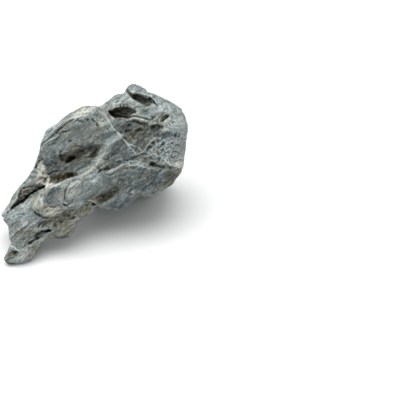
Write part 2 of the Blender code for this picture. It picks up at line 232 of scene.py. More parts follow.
def path_distance(flat, path):
    """The distance to the path, how far the nearest point is from the path's nearer end, and a
    number that is negative on the path's right."""
    lengths = np.hypot(*np.diff(path, axis=0).T)
    starts = np.concatenate([[0], np.cumsum(lengths)])
    best = np.full(len(flat), np.inf)
    run = np.zeros(len(flat))
    side = np.zeros(len(flat))
    for a, b, length, start in zip(path[:-1], path[1:], lengths, starts):
        along = (b - a) / length
        away = flat - a
        share = np.clip(away @ along, 0, length)
        distance = np.hypot(*(away - share[:, None] * along).T)
        nearer = distance < best
        best = np.where(nearer, distance, best)
        run = np.where(nearer, start + share, run)
        side = np.where(nearer, along[0] * away[:, 1] - along[1] * away[:, 0], side)
    return best, np.minimum(run, starts[-1] - run), side


def outline_depth(flat, outline):
    """How far each (u, v) lies inside a closed outline, negative outside it."""
    corners = np.vstack([outline, outline[:1]])
    distance, _, _ = path_distance(flat, corners)
    inside = np.zeros(len(flat), bool)
    for (ax, ay), (bx, by) in zip(corners[:-1], corners[1:]):
        if ay == by:
            continue
        spans = (ay > flat[:, 1]) != (by > flat[:, 1])
        crossing = ax + (flat[:, 1] - ay) * (bx - ax) / (by - ay)
        inside ^= spans & (flat[:, 0] < crossing)
    return np.where(inside, distance, -distance)


# What is drawn on the face. Each row ends with the points of its line or outline, x, y, x, y: how far
# right of and below the top left corner of the 400 mm square view they lie. px() reads them.

# Soft hollows: how wide their edge is, depth, outline
SCOOPS = {
    "gully_left": (4, -2.5, 54, 150, 60, 146, 70, 144, 75, 149, 68, 156, 58, 160),
    "under_crown": (3, 1.8, 110, 121, 120, 120, 128, 122, 140, 122, 148, 125, 160, 124, 163, 128, 156, 134,
        146, 137, 134, 137, 122, 134, 112, 128),
    "gully": (3, -3.2, 68, 158, 70, 151, 73, 147, 78, 145.5, 84, 147, 90, 149, 98, 148, 99, 151, 95, 157,
        88, 160, 78, 161),
    "gully_end": (1.6, 1.4, 90, 150, 95, 148, 99, 148.4, 98.6, 152.6, 94.6, 157, 91, 157),
    "lower_gully": (3.2, 2, 49, 182, 50, 176, 56, 173.6, 64, 172.6, 76, 171.6, 77, 175, 70, 178, 63, 182,
        57, 184),
    "belly_hole": (4, -1, 96, 199.6, 99, 196.6, 104, 194, 109, 193, 114, 191.5, 119, 190, 114, 196,
        110.5, 199.4, 104, 201, 98, 201),
    "side_hollow": (2.2, -5, 97, 171.5, 100, 168, 106, 164, 112, 161.5, 118, 163.6, 116, 167, 108, 169,
        102, 171.4),
    "crest_hollow": (1.2, 2, 148.6, 165, 150, 163, 154, 162.8, 159, 164.6, 167, 165.6, 166, 168.6, 158, 168,
        151, 167),
    "leg_cup": (2, 1.2, 37, 227, 40, 222, 45, 219.6, 51, 220, 50, 225, 44, 228.5),
    "foot_dent": (1.4, 2.2, 7, 261, 8, 254, 12, 250.6, 18, 251, 18.6, 254, 14, 258, 10, 261),
    "spine_swell": (6, -1.2, 50, 188, 60, 183.4, 72, 177.6, 84, 173, 94, 164, 100, 152, 110, 142, 119, 135,
        122, 138, 114, 148, 106, 158, 98, 168, 88, 176, 74, 183, 60, 188),
    "crust_swell": (1.6, -1.2, 36.6, 170, 38.6, 164, 41, 161.6, 45, 166, 46, 174, 49, 179, 48.6, 188,
        45, 189, 42, 184, 37, 182),
    "temple": (1, 0.9, 100.6, 120.6, 100.4, 117.4, 103, 116, 106, 117, 107, 119.6, 104, 121.4),
    "cheek": (1.2, 1.8, 95.6, 125, 96, 121.6, 98.6, 121.6, 100, 124.6, 98, 127.6),
    "crust_hollow": (1, 3.2, 43, 183, 44, 179, 47.6, 176.8, 48, 180, 46, 184),
    "crust_side": (0.9, 4, 34.4, 168, 36, 164, 39, 160.6, 39.4, 162, 37, 166, 35.6, 168.4),
    "plate_shadow": (1.2, 0.9, 68, 209, 71, 206, 80, 204.4, 91, 203.4, 92, 205.6, 84, 206.6, 74, 210),
    "tip_hole": (0.9, 3, 90.6, 204.6, 92, 202, 94.4, 202, 95.8, 204.6, 93.6, 206),
}

# Ledges with a sharp edge, the low side on the right of the line: drop, reach of the low side, line
EDGES = {
    "crown": (2, 7, 107, 112, 111, 116.4, 115, 118, 120, 117.4, 124, 118.2, 127.6, 120, 130, 119.4,
        133, 118.2, 137, 118.2, 141, 120, 145, 120.4, 148, 122.6, 149.6, 125, 153, 124.6, 156, 123.8,
        160, 123, 165, 122.6),
    "head": (0.7, 9, 36, 156, 40, 149, 43, 144.6, 48, 140.6, 54, 136.8, 60, 131.4, 66, 126, 72, 122,
        80, 119.6, 92, 118.6),
    "plate_top": (1.8, 6, 100, 164, 97, 166, 93, 168.4, 88, 171.2, 84, 174.4, 78, 176.8, 71, 177.6,
        66, 180.4, 60, 183.6, 54, 186, 48, 189),
    "plate_foot": (1.6, 3, 30, 206, 33, 209.4, 36, 212.4, 39, 214.8, 43, 216.8, 48, 217, 54, 215.6,
        60, 212.6, 66, 209.4, 71, 206.6, 78, 205, 86, 203.6, 92, 203),
    "leg": (1.2, 9, 8, 243, 11, 237, 14, 233.4, 19, 230, 24, 226.4, 28, 223, 34, 219.6, 38, 217),
    "cleft": (1.5, 5, 47, 186, 41, 189.8, 36, 191.8, 31, 195, 26, 197.8, 25, 201.6, 21, 204, 14, 207.4,
        8, 213),
    "belly_tip": (1.2, 3, 85, 202.4, 89, 200.2, 92, 201, 94.6, 202.8, 96.4, 205),
    "belly": (1.5, 9, 161, 186, 165, 179, 172, 173, 180, 171),
    "lip": (1.2, 4, 127, 88, 128.6, 91, 131, 94, 135, 94, 140, 95, 147, 97.6, 150, 98, 154, 102, 158, 106),
}

# Pits with a sharp rim: depth below the rim, how much deeper they grow towards the side they lean
# to, that side, how brown they are, outline
PITS = {
    "eye": (3, 13, (-0.6, -0.8), 0.65, 107.6, 111, 109.6, 113.6, 112.4, 116.4, 115.6, 117.4, 120, 116.4,
        124, 117.4, 127, 118.6, 129.6, 116.8, 131.6, 114.6, 136, 113.6, 137.6, 110.8, 133.6, 110,
        131.6, 107.6, 127, 106.8, 121, 107, 117, 107.4, 112, 109.4),
    "lip_pit": (3, 8, (-0.2, 1), 0.8, 130, 96.6, 133.6, 99.6, 136.8, 101.4, 139.8, 103, 142, 104,
        143, 105.6, 145.8, 106.4, 149.2, 106, 152, 104.4, 152.8, 102, 151.4, 100.4, 149.2, 97.6,
        147.4, 99.8, 145.6, 97.8, 143, 96.4, 140.6, 96, 138, 94.2, 134.6, 93.8, 132.6, 95.2),
    "nostril": (9, 0, (0, 1), 1, 65, 162.6, 65.6, 160, 68.4, 157.4, 71, 155.6, 74.6, 155.8, 76.2, 158.4,
        72.6, 160.8, 69.4, 163.4),
    "gully_pit": (1.5, 1.5, (0, 1), 0.8, 66, 179, 68, 175.6, 73, 173.6, 76, 174, 73, 177, 69, 179),
    "side_hole": (2.5, 1.5, (0, 1), 1, 97.6, 172.4, 98.4, 170.4, 100.6, 169, 103, 168.4, 102.8, 170.2,
        101, 171.8, 99, 173),
    "crest_hole": (4, 2, (0, 1), 0.9, 148.4, 165.2, 149.6, 163.2, 153.4, 162.6, 158, 164.4, 163, 165.6,
        167, 166.4, 163, 168, 157, 167.4, 151.6, 166.8),
    "leg_slot": (1.5, 3, (-0.5, 1), 0.65, 27.6, 245.6, 29, 242, 33, 239, 35.6, 235, 39, 231.6, 45, 229.8,
        52, 229.4, 49, 232.2, 44.6, 234, 42, 236.6, 38.6, 239.4, 34, 241, 31, 244.6),
    "cleft": (0.5, 9, (0.53, -0.85), 0.2, 45, 184.6, 38, 186, 32, 187, 29, 187, 22, 188.5, 18, 194,
        17.4, 199, 16, 202.4, 17, 204.4, 20.6, 203.2, 24.8, 201, 25.4, 197.6, 30, 195, 34, 192.2, 40, 190,
        44.6, 187.4),
    "crown_pit": (1.4, 1, (0, 1), 0.3, 159.8, 122.4, 160.2, 119.8, 162.2, 117.2, 164.4, 115.6, 166.6, 113.6,
        168.8, 114.8, 167.8, 117, 165.6, 117.8, 164.4, 119.6, 162.6, 121.4),
}

# Strokes, by colour channel: half width, depth (negative is raised), strength of the colour, line
STROKES = {
    "crust": {
        "crown_crack_rim": (0.6, -0.4, 0.6, 129.2, 115.6, 132, 114.2, 136.6, 114.6, 141, 116),
        "crown_pit_rim": (0.6, -0.5, 0.9, 159.2, 121.8, 159.8, 119, 162, 116.4, 164.4, 114.6, 166.8, 112.8),
        "eye_lash_right": (0.8, -1.2, 0.7, 125, 106, 127, 106),
        "eye_lash_next": (0.9, -1.5, 0.8, 121.4, 105.2, 123, 105.6),
        "crown_rim": (0.8, -0.6, 0.95, 110, 115.8, 113, 118.4, 116, 119, 120, 118, 124, 118.8, 127.6, 120.6,
            133, 118.8, 137, 118.8, 141, 120.8, 145, 121, 148, 123),
        "crown_rim_end": (0.9, -0.4, 0.7, 149.6, 125.4, 153, 125, 156, 124.2, 160, 123.4),
        "crown_drip": (0.7, -0.3, 0.8, 141.4, 121, 141.6, 124),
        "eye_lash": (0.8, -1.4, 0.8, 117.4, 106.8, 119.4, 106.4),
        "eye_knob": (0.9, -2.4, 1, 119, 109.4, 120.4, 109.6),
        "brow_pale": (0.9, -0.4, 0.5, 112, 104.6, 117, 103.6, 121, 102.6),
        "lip_knob": (1.2, -0.8, 0.7, 131, 91.4, 134.6, 92),
        "lip_tooth": (0.8, -1, 0.5, 147, 98.8, 147.6, 97),
        "lip_floor": (1.6, 0, 0.5, 152, 103, 154, 105),
        "cheek_white": (1.2, -0.5, 1, 98, 118.8, 99.4, 119),
        "belly_rim": (0.9, -0.5, 0.8, 87, 200.6, 90, 200, 93, 201.2, 96, 203.4),
        "rim_white": (1.8, -0.6, 1, 175, 165.4, 178, 164, 180, 167),
        "rim_white_right": (1.2, -0.4, 0.8, 183, 162, 183.4, 168),
        "vein_arc": (0.5, -0.1, 0.6, 134, 137.6, 138, 133.8, 142, 131.4, 146, 132, 150, 132.4),
        "vein_drop": (0.5, -0.1, 0.6, 148, 122.4, 150, 129, 153.6, 137, 156.6, 143, 158, 146),
        "crust_rib": (1.4, -1.8, 1, 37.6, 168.6, 39, 163.6, 41.6, 162),
        "crust_rib_mid": (1.4, -1.8, 1, 41, 170.6, 44.6, 167.4),
        "crust_rib_low": (1.4, -1.8, 1, 36.6, 180, 38, 177, 41, 175.6, 48, 176.4),
        "crust_rib_foot": (1.3, -2, 1, 37, 184, 40, 182, 42.4, 180),
        "crust_strut": (1.4, -1.8, 1, 48.6, 177.6, 48.8, 181, 47, 186, 46, 190),
        "plate_pale_left": (1, -0.5, 0.9, 49, 188, 55, 185.6, 61, 183),
    },
    # Dark spots, and painted shade: in cracks and creases, under ledges, and black in holes and slots
    "shade": {
        "brow_seam_left": (0.6, 0.9, 0.6, 120, 103.6, 121.2, 104),
        "brow_seam_right": (0.6, 0.9, 0.7, 126.2, 105.9, 128, 106.7),
        "lip_notch": (0.8, 1.4, 1, 146.4, 99, 148.2, 99.6, 149.2, 98),
        "lip_shelf_line": (0.6, 0.8, 0.6, 128.6, 91.4, 130.4, 94, 133.4, 96),
        "crest_black": (1.3, 1.6, 1, 149.8, 163.8, 154.8, 165.2),
        "crown_pit_shadow": (0.6, 1, 0.9, 161.4, 122, 163.4, 120.2, 165.2, 118.4, 167.8, 117, 169, 115),
        "lower_gully_dot_right": (1.7, 2.4, 1, 66.6, 177.4, 70, 175.6, 73, 175),
        "lower_gully_dot": (0.8, 1.4, 0.8, 58, 179.4, 60.6, 177.4),
        "gully_end_dark": (1.5, 0.5, 0.4, 92, 155, 94.6, 152, 98, 149.8),
        "plate_scratch_high": (0.8, 0.8, 0.5, 38, 201, 41, 196, 44, 193),
        "foot_rim": (1, 0.6, 0.8, 5, 262, 10, 263.6, 14, 264.2),
        "leg_slot_tail": (0.8, 1, 0.5, 28.4, 245, 29.6, 242.8, 33, 240.6),
        "leg_slot_dark_high": (1.1, 2.4, 1, 46, 231.6, 51, 230.2),
        "leg_slot_dark": (1.3, 2.4, 1, 36.6, 238.6, 39, 237),
        "cleft_crease": (0.9, 2.6, 1.2, 45, 186.4, 40, 188.8, 35, 191.2, 31, 193.8, 27, 196.4, 24.6, 199.6,
            20, 202.6, 15, 205.4, 12, 207.6),
        "crust_edge_dark": (0.9, 2, 1, 36, 168.4, 37.4, 164.6, 40, 160.4),
        "crust_gap_low": (0.8, 1, 0.5, 40.4, 179.4, 43, 178.6),
        "crust_gap": (0.8, 1, 0.5, 42.4, 172.4, 44, 174.6),
        "side_hole_dark": (0.9, 1, 0.9, 99.4, 171.2, 101, 170.6),
        "crown_shadow_right": (1.2, 1, 0.5, 150, 127, 157, 126, 163, 127),
        "eye_lash_gap_right": (0.6, 1.2, 0.9, 124, 106.6, 124, 105),
        "eye_lash_gap": (0.6, 1.2, 0.9, 120.2, 106.8, 120.4, 105),
        "crown_crack": (0.8, 2.4, 1.1, 127.8, 118.6, 130, 116.8, 132.6, 115.6, 136.8, 116, 142, 117.6,
            147, 119, 151, 120.2),
        "crown_notch": (1.1, 1.4, 0.7, 151.6, 119.4, 152.6, 117.8, 154.4, 117.4),
        "brow_mark": (0.8, 1, 0.8, 115.4, 102.6, 117.6, 101),
        "brow_seam": (0.6, 0.9, 0.7, 122.4, 104.8, 124.8, 105.4),
        "lip_tail": (0.8, 2, 1, 149.4, 98, 152, 100, 154.6, 103, 157.8, 105.9),
        "lip_cheek": (1.2, 1.5, 0.7, 127, 89, 127.8, 92, 130.4, 95),
        "crown_spot": (1.3, 1.4, 0.8, 171.6, 121.4, 174, 121.8),
        "crown_spot_high": (0.9, 0.9, 0.6, 174, 111.6, 175.6, 112.4),
        "crown_spot_low": (0.9, 0.9, 0.6, 166, 124, 167.4, 125),
        "rim_spot": (0.9, 0.9, 0.7, 184.4, 116.4, 185.8, 117.8),
        "head_groove": (1, 1.2, 0.5, 40, 147.6, 43, 143, 48, 139, 52, 136, 55, 133.6, 58, 129.6, 62, 127,
            66, 123.4, 70, 120.6, 74, 119.2),
        "head_mark": (0.8, 1, 0.6, 46.6, 146.8, 50, 144.6, 53, 143.8, 56, 142.4),
        "head_spot": (1.2, 1.4, 0.85, 68.8, 141.2, 71.6, 140.6),
        "head_notch": (0.8, 1.2, 0.7, 74.6, 121.4, 76.4, 120.2, 78.4, 118.6),
        "head_mark_low": (0.9, 1, 0.6, 62, 132, 65, 131.6, 69, 130.6),
        "head_bar": (1.4, 1.2, 0.7, 86, 119, 89, 119.4),
        "head_bar_right": (1.4, 1, 0.6, 92, 118, 94, 121.6),
        "head_bar_low": (1.2, 0.8, 0.4, 80, 121, 83, 121.4),
        "eye_spot": (1.3, 1.8, 0.95, 60, 152, 62, 151.6),
        "eye_spot_low": (1.4, 1.6, 0.85, 59.6, 155.4, 61.6, 156),
        "snout_spot": (1.1, 1.6, 0.9, 52, 161.4, 53, 162),
        "snout_dark": (2.2, 0.8, 0.5, 46.6, 165, 52, 166, 57, 165),
        "snout_edge": (1.6, 1.4, 0.7, 40, 158, 42, 159.6),
        "brow_crack": (0.8, 1.2, 0.7, 49, 174.6, 51.6, 172.6, 54, 171.6, 58, 171),
        "tear": (0.8, 2.6, 0.9, 57.4, 177.6, 58.2, 179.8, 57.8, 181.6),
        "tear_wide": (1.3, 2.2, 0.9, 62.4, 178.8, 64.6, 176.4),
        "plate_crack": (0.6, 1.8, 1, 69.6, 182.8, 68, 185.6, 66, 188.4, 65, 191.6, 64.8, 195, 64.6, 198.8),
        "plate_nick": (0.7, 1.4, 0.9, 62.8, 203.4, 64.6, 204.8, 67, 205.8),
        "plate_foot_line": (0.6, 1, 0.6, 34, 211.4, 37, 214, 40, 215.6, 44, 217.6, 49, 217.8),
        "plate_foot_spot": (1, 1.4, 0.9, 38.6, 214.6, 40, 215.2),
        "tip_dark": (1, 1.5, 1, 92.6, 203.6, 94.8, 204.4),
        "under_web": (1.6, 0.8, 0.45, 108, 175, 114, 172.4, 124, 168.4, 132, 168, 140, 169, 148, 170.6),
        "front_black_high": (1.2, 1.4, 0.9, 128, 125.8, 131.4, 124.4),
        "front_black_right": (1.5, 2, 1, 136, 131, 139, 129.4, 142, 130),
        "front_black_low": (1.5, 2, 1, 123.4, 138.2, 126.4, 138.8),
        "front_black_mid": (1.4, 1.2, 0.8, 132, 136, 134, 139),
        "crown_shadow": (1.6, 1.2, 0.9, 133, 121, 140, 123, 146, 125),
        "front_knot": (0.9, 1, 0.7, 130, 151, 133, 149.4),
        "seam": (0.8, 0.8, 0.55, 124, 160.8, 128, 160, 133, 157.6, 140, 155.2, 144, 153.6, 148, 155),
        "seam_left": (1, 0.6, 0.45, 118, 157.8, 121, 157.4, 124, 158),
        "seam_high": (1.4, 1.3, 0.75, 146, 150, 148.6, 147.4, 152.6, 147),
        "right_dark": (1.8, 1.2, 0.75, 151, 143, 155, 142.4),
        "right_dark_next": (1.3, 1.2, 0.75, 156, 141.6, 158.4, 140.6),
        "right_black": (2.2, 2.2, 1, 174.6, 136, 177.6, 134.6),
        "right_hole": (1.3, 2.2, 1, 161.4, 150.4, 163, 150.8),
        "right_hole_low": (1.3, 1.2, 0.8, 150, 158, 152, 158),
        "right_speck": (1, 1, 0.7, 173, 151.6, 174, 151),
        "right_speck_high": (1.1, 1, 0.7, 175.6, 145.2, 178, 145),
        "right_speck_left": (1.2, 1, 0.6, 172, 143, 173.6, 144),
        "right_speck_mid": (1.1, 0.9, 0.6, 166.6, 147.4, 168.6, 147),
        "right_spot_low": (2, 2, 1, 168, 167, 172, 167),
        "right_step": (1, 1.2, 0.6, 157, 152, 159, 155),
        "fin_spot_dark": (1, 1.4, 0.9, 35.6, 172.4, 37, 173),
        "cleft_dot": (1.1, 2, 1, 11, 208.6, 12.4, 207.8),
        "cleft_dot_low": (0.9, 1.6, 1, 7, 212.6, 8.8, 211.6),
        "leg_arc": (0.9, 1.1, 0.65, 37.6, 228, 39.6, 225, 42.6, 222.6, 46, 221.4),
        "leg_arc_inner": (0.8, 0.8, 0.5, 42, 227, 44, 224.4, 47, 223),
        "leg_spot_low": (0.9, 1.2, 0.8, 48, 227.6, 49, 227.4),
        "lobe_edge": (1.2, 0.6, 0.8, 53, 239, 58, 238, 63, 237.4, 68, 236.4),
    },
    # Pale rims, ridges, knobs and bands: the stone's bloom, with painted highlights along the raised ones
    "pale": {
        "crown_pit_step": (0.9, -0.8, 0.6, 162, 119.6, 164.6, 118),
        "cleft_wall_rib_low": (0.8, -0.8, 0.35, 19.4, 199, 22, 195.6, 27, 193),
        "cleft_wall_rib": (0.9, -0.9, 0.5, 21, 192, 25, 189.6, 30, 188.6),
        "cleft_knob_high": (1.2, -1.4, 0.5, 37.6, 191.4, 40, 190.2),
        "cleft_knob_low": (1.3, -1.4, 0.5, 19.6, 204.4, 21.6, 203.4),
        "cleft_knob_mid": (1.5, -1.6, 0.6, 30, 195.4, 32, 194.2),
        "cleft_knob": (1.4, -1.6, 0.6, 24, 199.6, 25.6, 198),
        "head_ledge": (0.8, -0.7, 0.8, 41, 150, 43.6, 144.6, 49, 140.8, 54, 138.2, 59, 135),
        "head_top_line": (1, -0.5, 0.6, 47, 130, 53, 127.4, 58, 124.4, 64, 121.6, 70, 118.6, 77, 116.6),
        "cheek_pale": (1.6, -0.4, 0.9, 101, 125, 104, 123.6),
        "plate_lip": (0.7, -0.4, 0.6, 67, 187.6, 66.4, 192, 66.2, 197),
        "plate_nick_lip": (1.2, -0.8, 1, 64, 202.6, 66, 203.8),
        "right_ridge": (0.8, -0.7, 0.7, 159, 145.6, 162, 142, 166, 139.6),
        "fin_edge": (0.9, -0.6, 0.8, 19.6, 190, 17.2, 194, 17, 199, 13, 203),
        "leg_pale": (1.4, -0.3, 0.6, 12, 235, 16, 230.6, 21, 228, 25, 224.6),
        "foot_seam": (0.8, -0.4, 0.7, 9, 246, 13, 247.6, 17, 250),
        "spine_pale": (5, -0.2, 0.4, 98, 156, 102, 151, 107, 147.6, 112, 142, 118, 138),
        "spine_pale_low": (2.6, -0.2, 0.7, 84, 174.6, 89, 171, 94, 167.8, 98, 164),
        "plate_pale": (1.5, -0.5, 0.9, 62, 182.4, 68, 179.4, 74, 178, 80, 176.6),
        "belly_pale": (1.4, -0.4, 0.7, 92, 182, 96, 179.6, 99, 176),
        "belly_pale_mid": (1.4, -0.3, 0.5, 111, 183.6, 114, 182, 116, 180),
        "belly_pale_right": (1.4, -0.3, 0.5, 120, 176, 123.6, 177.4),
        "front_pale": (1.8, -0.4, 0.6, 95, 134, 99, 132.4, 103, 130.6),
        "front_pale_low": (1.8, -0.3, 0.35, 104, 156, 108, 152.4, 112, 149.6),
    },
    "vein": {
        "foot_ridge": (0.7, -0.5, 0.7, 8.2, 244.4, 11.4, 245.4, 14.6, 247.8, 19, 251),
        "lower_gully_edge": (0.6, -0.4, 0.6, 48.6, 188.6, 54, 186, 60, 183.4, 66, 180.6, 72, 178.4),
        "plate_scuff": (1.2, -0.3, 0.7, 40, 198, 41.6, 202, 42, 206),
        "web": (0.5, -0.05, 0.6, 106, 172.4, 109, 171.6, 113, 169.4, 117, 167.8, 121, 165.6, 124.6, 164.4,
            128, 162.8, 130.6, 161, 133.6, 161.6),
        "web_low": (0.5, -0.05, 0.6, 128, 163, 130.4, 165, 134, 165.8, 137, 163.6, 140, 161.4, 143, 159),
        "web_knot": (0.5, -0.05, 0.5, 134, 160.4, 138.6, 161.6, 138, 164.4, 142, 166.4, 147, 167.4),
        "web_low_left": (0.5, -0.05, 0.5, 107, 172.8, 110, 173, 113, 171.4),
        "web_climb": (0.5, -0.05, 0.5, 139, 160, 144, 157, 148.6, 155.8),
        "rim_line": (0.6, -0.5, 0.6, 164.8, 159, 166.6, 162, 170, 164.2, 174, 165.8, 179, 166.6),
        "rim_line_top": (0.6, -0.4, 0.5, 170.6, 158.8, 174, 160, 178.6, 158.8),
        "vein": (0.5, -0.05, 0.62, 105.4, 115, 107.6, 118.6, 109.6, 122.6, 112, 126.6, 114.8, 129.8,
            118, 133, 121, 136.4, 124, 139.4),
        "vein_on": (0.5, -0.05, 0.85, 124, 139.4, 127, 143, 129, 146, 132, 149.4, 134.6, 152.6,
            136.4, 155.6),
        "vein_head": (0.3, -0.05, 0.3, 105, 114.6, 107, 118, 109.6, 122.6),
        "vein_fan": (0.5, -0.05, 0.15, 114.6, 128.6, 116.4, 131.4),
        "vein_back": (0.5, -0.05, 0.8, 136.4, 155.4, 140, 153.6, 144, 150.6, 147, 146.6, 149, 143.4,
            153, 140),
        "vein_tie": (0.5, -0.05, 0.7, 138, 147, 141, 150, 142.6, 152.6),
        "vein_cross": (0.5, -0.05, 0.5, 128.6, 145.6, 132, 144.4, 136, 146.4),
        "vein_low": (0.7, -0.2, 0.6, 162, 131, 168, 128.6),
        "fin_spot": (1, -0.5, 0.7, 17, 191, 18, 192),
        "leg_white": (1.2, -0.4, 0.8, 23, 206, 24, 206.8),
        "foot_white": (1, -0.3, 0.6, 19, 259, 22, 256.6, 24, 254),
        "belly_spot": (1.2, -0.4, 0.4, 131.6, 192.6, 134, 191.6),
    },
    "rust": {
        "head_back_dot_low": (0.7, 0.8, 0.8, 85.4, 111.6, 86.6, 111),
        "head_back_dot_left": (0.7, 0.8, 0.8, 79, 111.2, 80.4, 110.8),
        "head_back_dot_mid": (0.7, 0.8, 0.8, 82, 113.6, 83.4, 113.2),
        "head_back_dot": (0.7, 0.8, 0.8, 89.6, 109.6, 90.6, 109.4),
        "tip_rust": (2, 0, 0.7, 87, 209.4, 91, 208.6),
    },
    "stain": {
        "belly_hole_lip": (0.8, 0.9, 0.35, 97, 197.6, 102, 194.6, 108, 193, 114, 191.6, 120, 188.6),
        "belly_hole_streak": (1, 0.5, 0.4, 110, 194, 115, 192.6, 119, 190),
        "belly_hole_dark_right": (1.7, 1.6, 1, 108.4, 197.6, 111, 196.4),
        "belly_hole_dark": (2, 1.8, 1, 101.4, 197.4, 104.4, 195.8),
        "plate_scratch_low": (0.8, 0.7, 0.6, 46, 212, 52, 210.6, 58, 210),
        "plate_scratch": (0.9, 0.8, 0.7, 44, 207.6, 49, 206.6, 55, 207.4),
        "head_groove_wide": (2, 1.2, 0.6, 55, 133, 58, 129.4, 62, 126.8),
        "cheek_spot": (1.3, 1, 0.7, 97, 123.4, 98, 126),
        "eye_spot_third": (1.2, 1.2, 0.8, 62, 158, 63, 161),
        "gully_line": (1, 1, 0.8, 77, 152, 80, 151, 84, 151.4),
        "gully_arc": (0.9, 0.8, 0.6, 70.6, 151, 72, 147.6, 77, 145.6, 83, 146.6),
        "gully_line_low": (1, 0.9, 0.8, 84, 157.4, 89, 157, 93, 155.4),
        "gully_corner": (1.7, 0.9, 0.8, 93, 154, 95, 151, 97.4, 149.6),
        "front_dark_end": (2.8, 1, 0.65, 151, 130, 154.6, 127, 160, 125.4),
        "crest_brown": (1.8, 1, 0.9, 159, 166.6, 166, 167.6),
        "leg_spot": (1.7, 1.8, 0.85, 53.6, 225.4, 56.4, 224.4),
        "leg_spot_right": (1.5, 1.2, 0.7, 59.6, 223, 62, 220.6),
        "leg_mark": (1.2, 1.8, 1, 71, 219, 73, 217.8, 75.4, 216.6),
        "leg_mark_left": (1.3, 1.2, 0.9, 68, 216.4, 70, 215.6),
        "leg_rust": (1.3, 0, 0.5, 65, 225.4, 72, 224.6),
        "foot_dark": (1.4, 1.2, 0.8, 13, 252.6, 17, 252.4),
        "right_patch": (3.5, 0.5, 0.8, 167, 177, 171, 173.6, 175, 174),
        "right_patch_low": (2, 0.5, 0.7, 165, 184, 170, 180, 176, 174),
    },
    "moss": {
        "crown_pit_floor": (1.8, 0.6, 1, 161, 121, 163, 118.4, 167.6, 115.4),
    },
    "slate": {
        "plate_dark": (1.8, 0.4, 0.8, 49, 194, 54, 191, 58, 190.6),
        "plate_dark_low": (1.6, 0.6, 0.8, 46, 200.4, 48.6, 202),
        "front_black": (1.5, 2, 1, 124.8, 131.8, 127.4, 130.4, 130, 130.2),
        "front_black_left": (1.5, 2, 1, 119.6, 132.2, 122, 131.6),
        "right_dark_top": (2, 1.2, 0.75, 157, 136, 160, 134.8),
        "right_slate": (2.6, 1.2, 1, 163, 137, 167, 134, 171, 134.6),
        "right_slate_low": (1.8, 1.2, 0.9, 161.6, 144.6, 165, 142.6),
        "right_hole_next": (1.4, 1.2, 0.85, 158, 160, 160.4, 157),
        "fin_slate": (1.3, 0.8, 0.9, 30.6, 172.4, 33, 171.6, 36, 173),
        "fin_slate_low": (1.3, 0.6, 0.8, 23, 183.4, 26, 183),
        "fin_slate_mid": (2, 0.4, 0.6, 28, 177, 34, 178),
        "leg_dark": (1.4, 0.9, 0.7, 10, 226, 14, 224, 18, 222.6),
        "leg_streak": (1, 0.7, 0.4, 12, 217, 20, 214, 28, 214),
    },
}

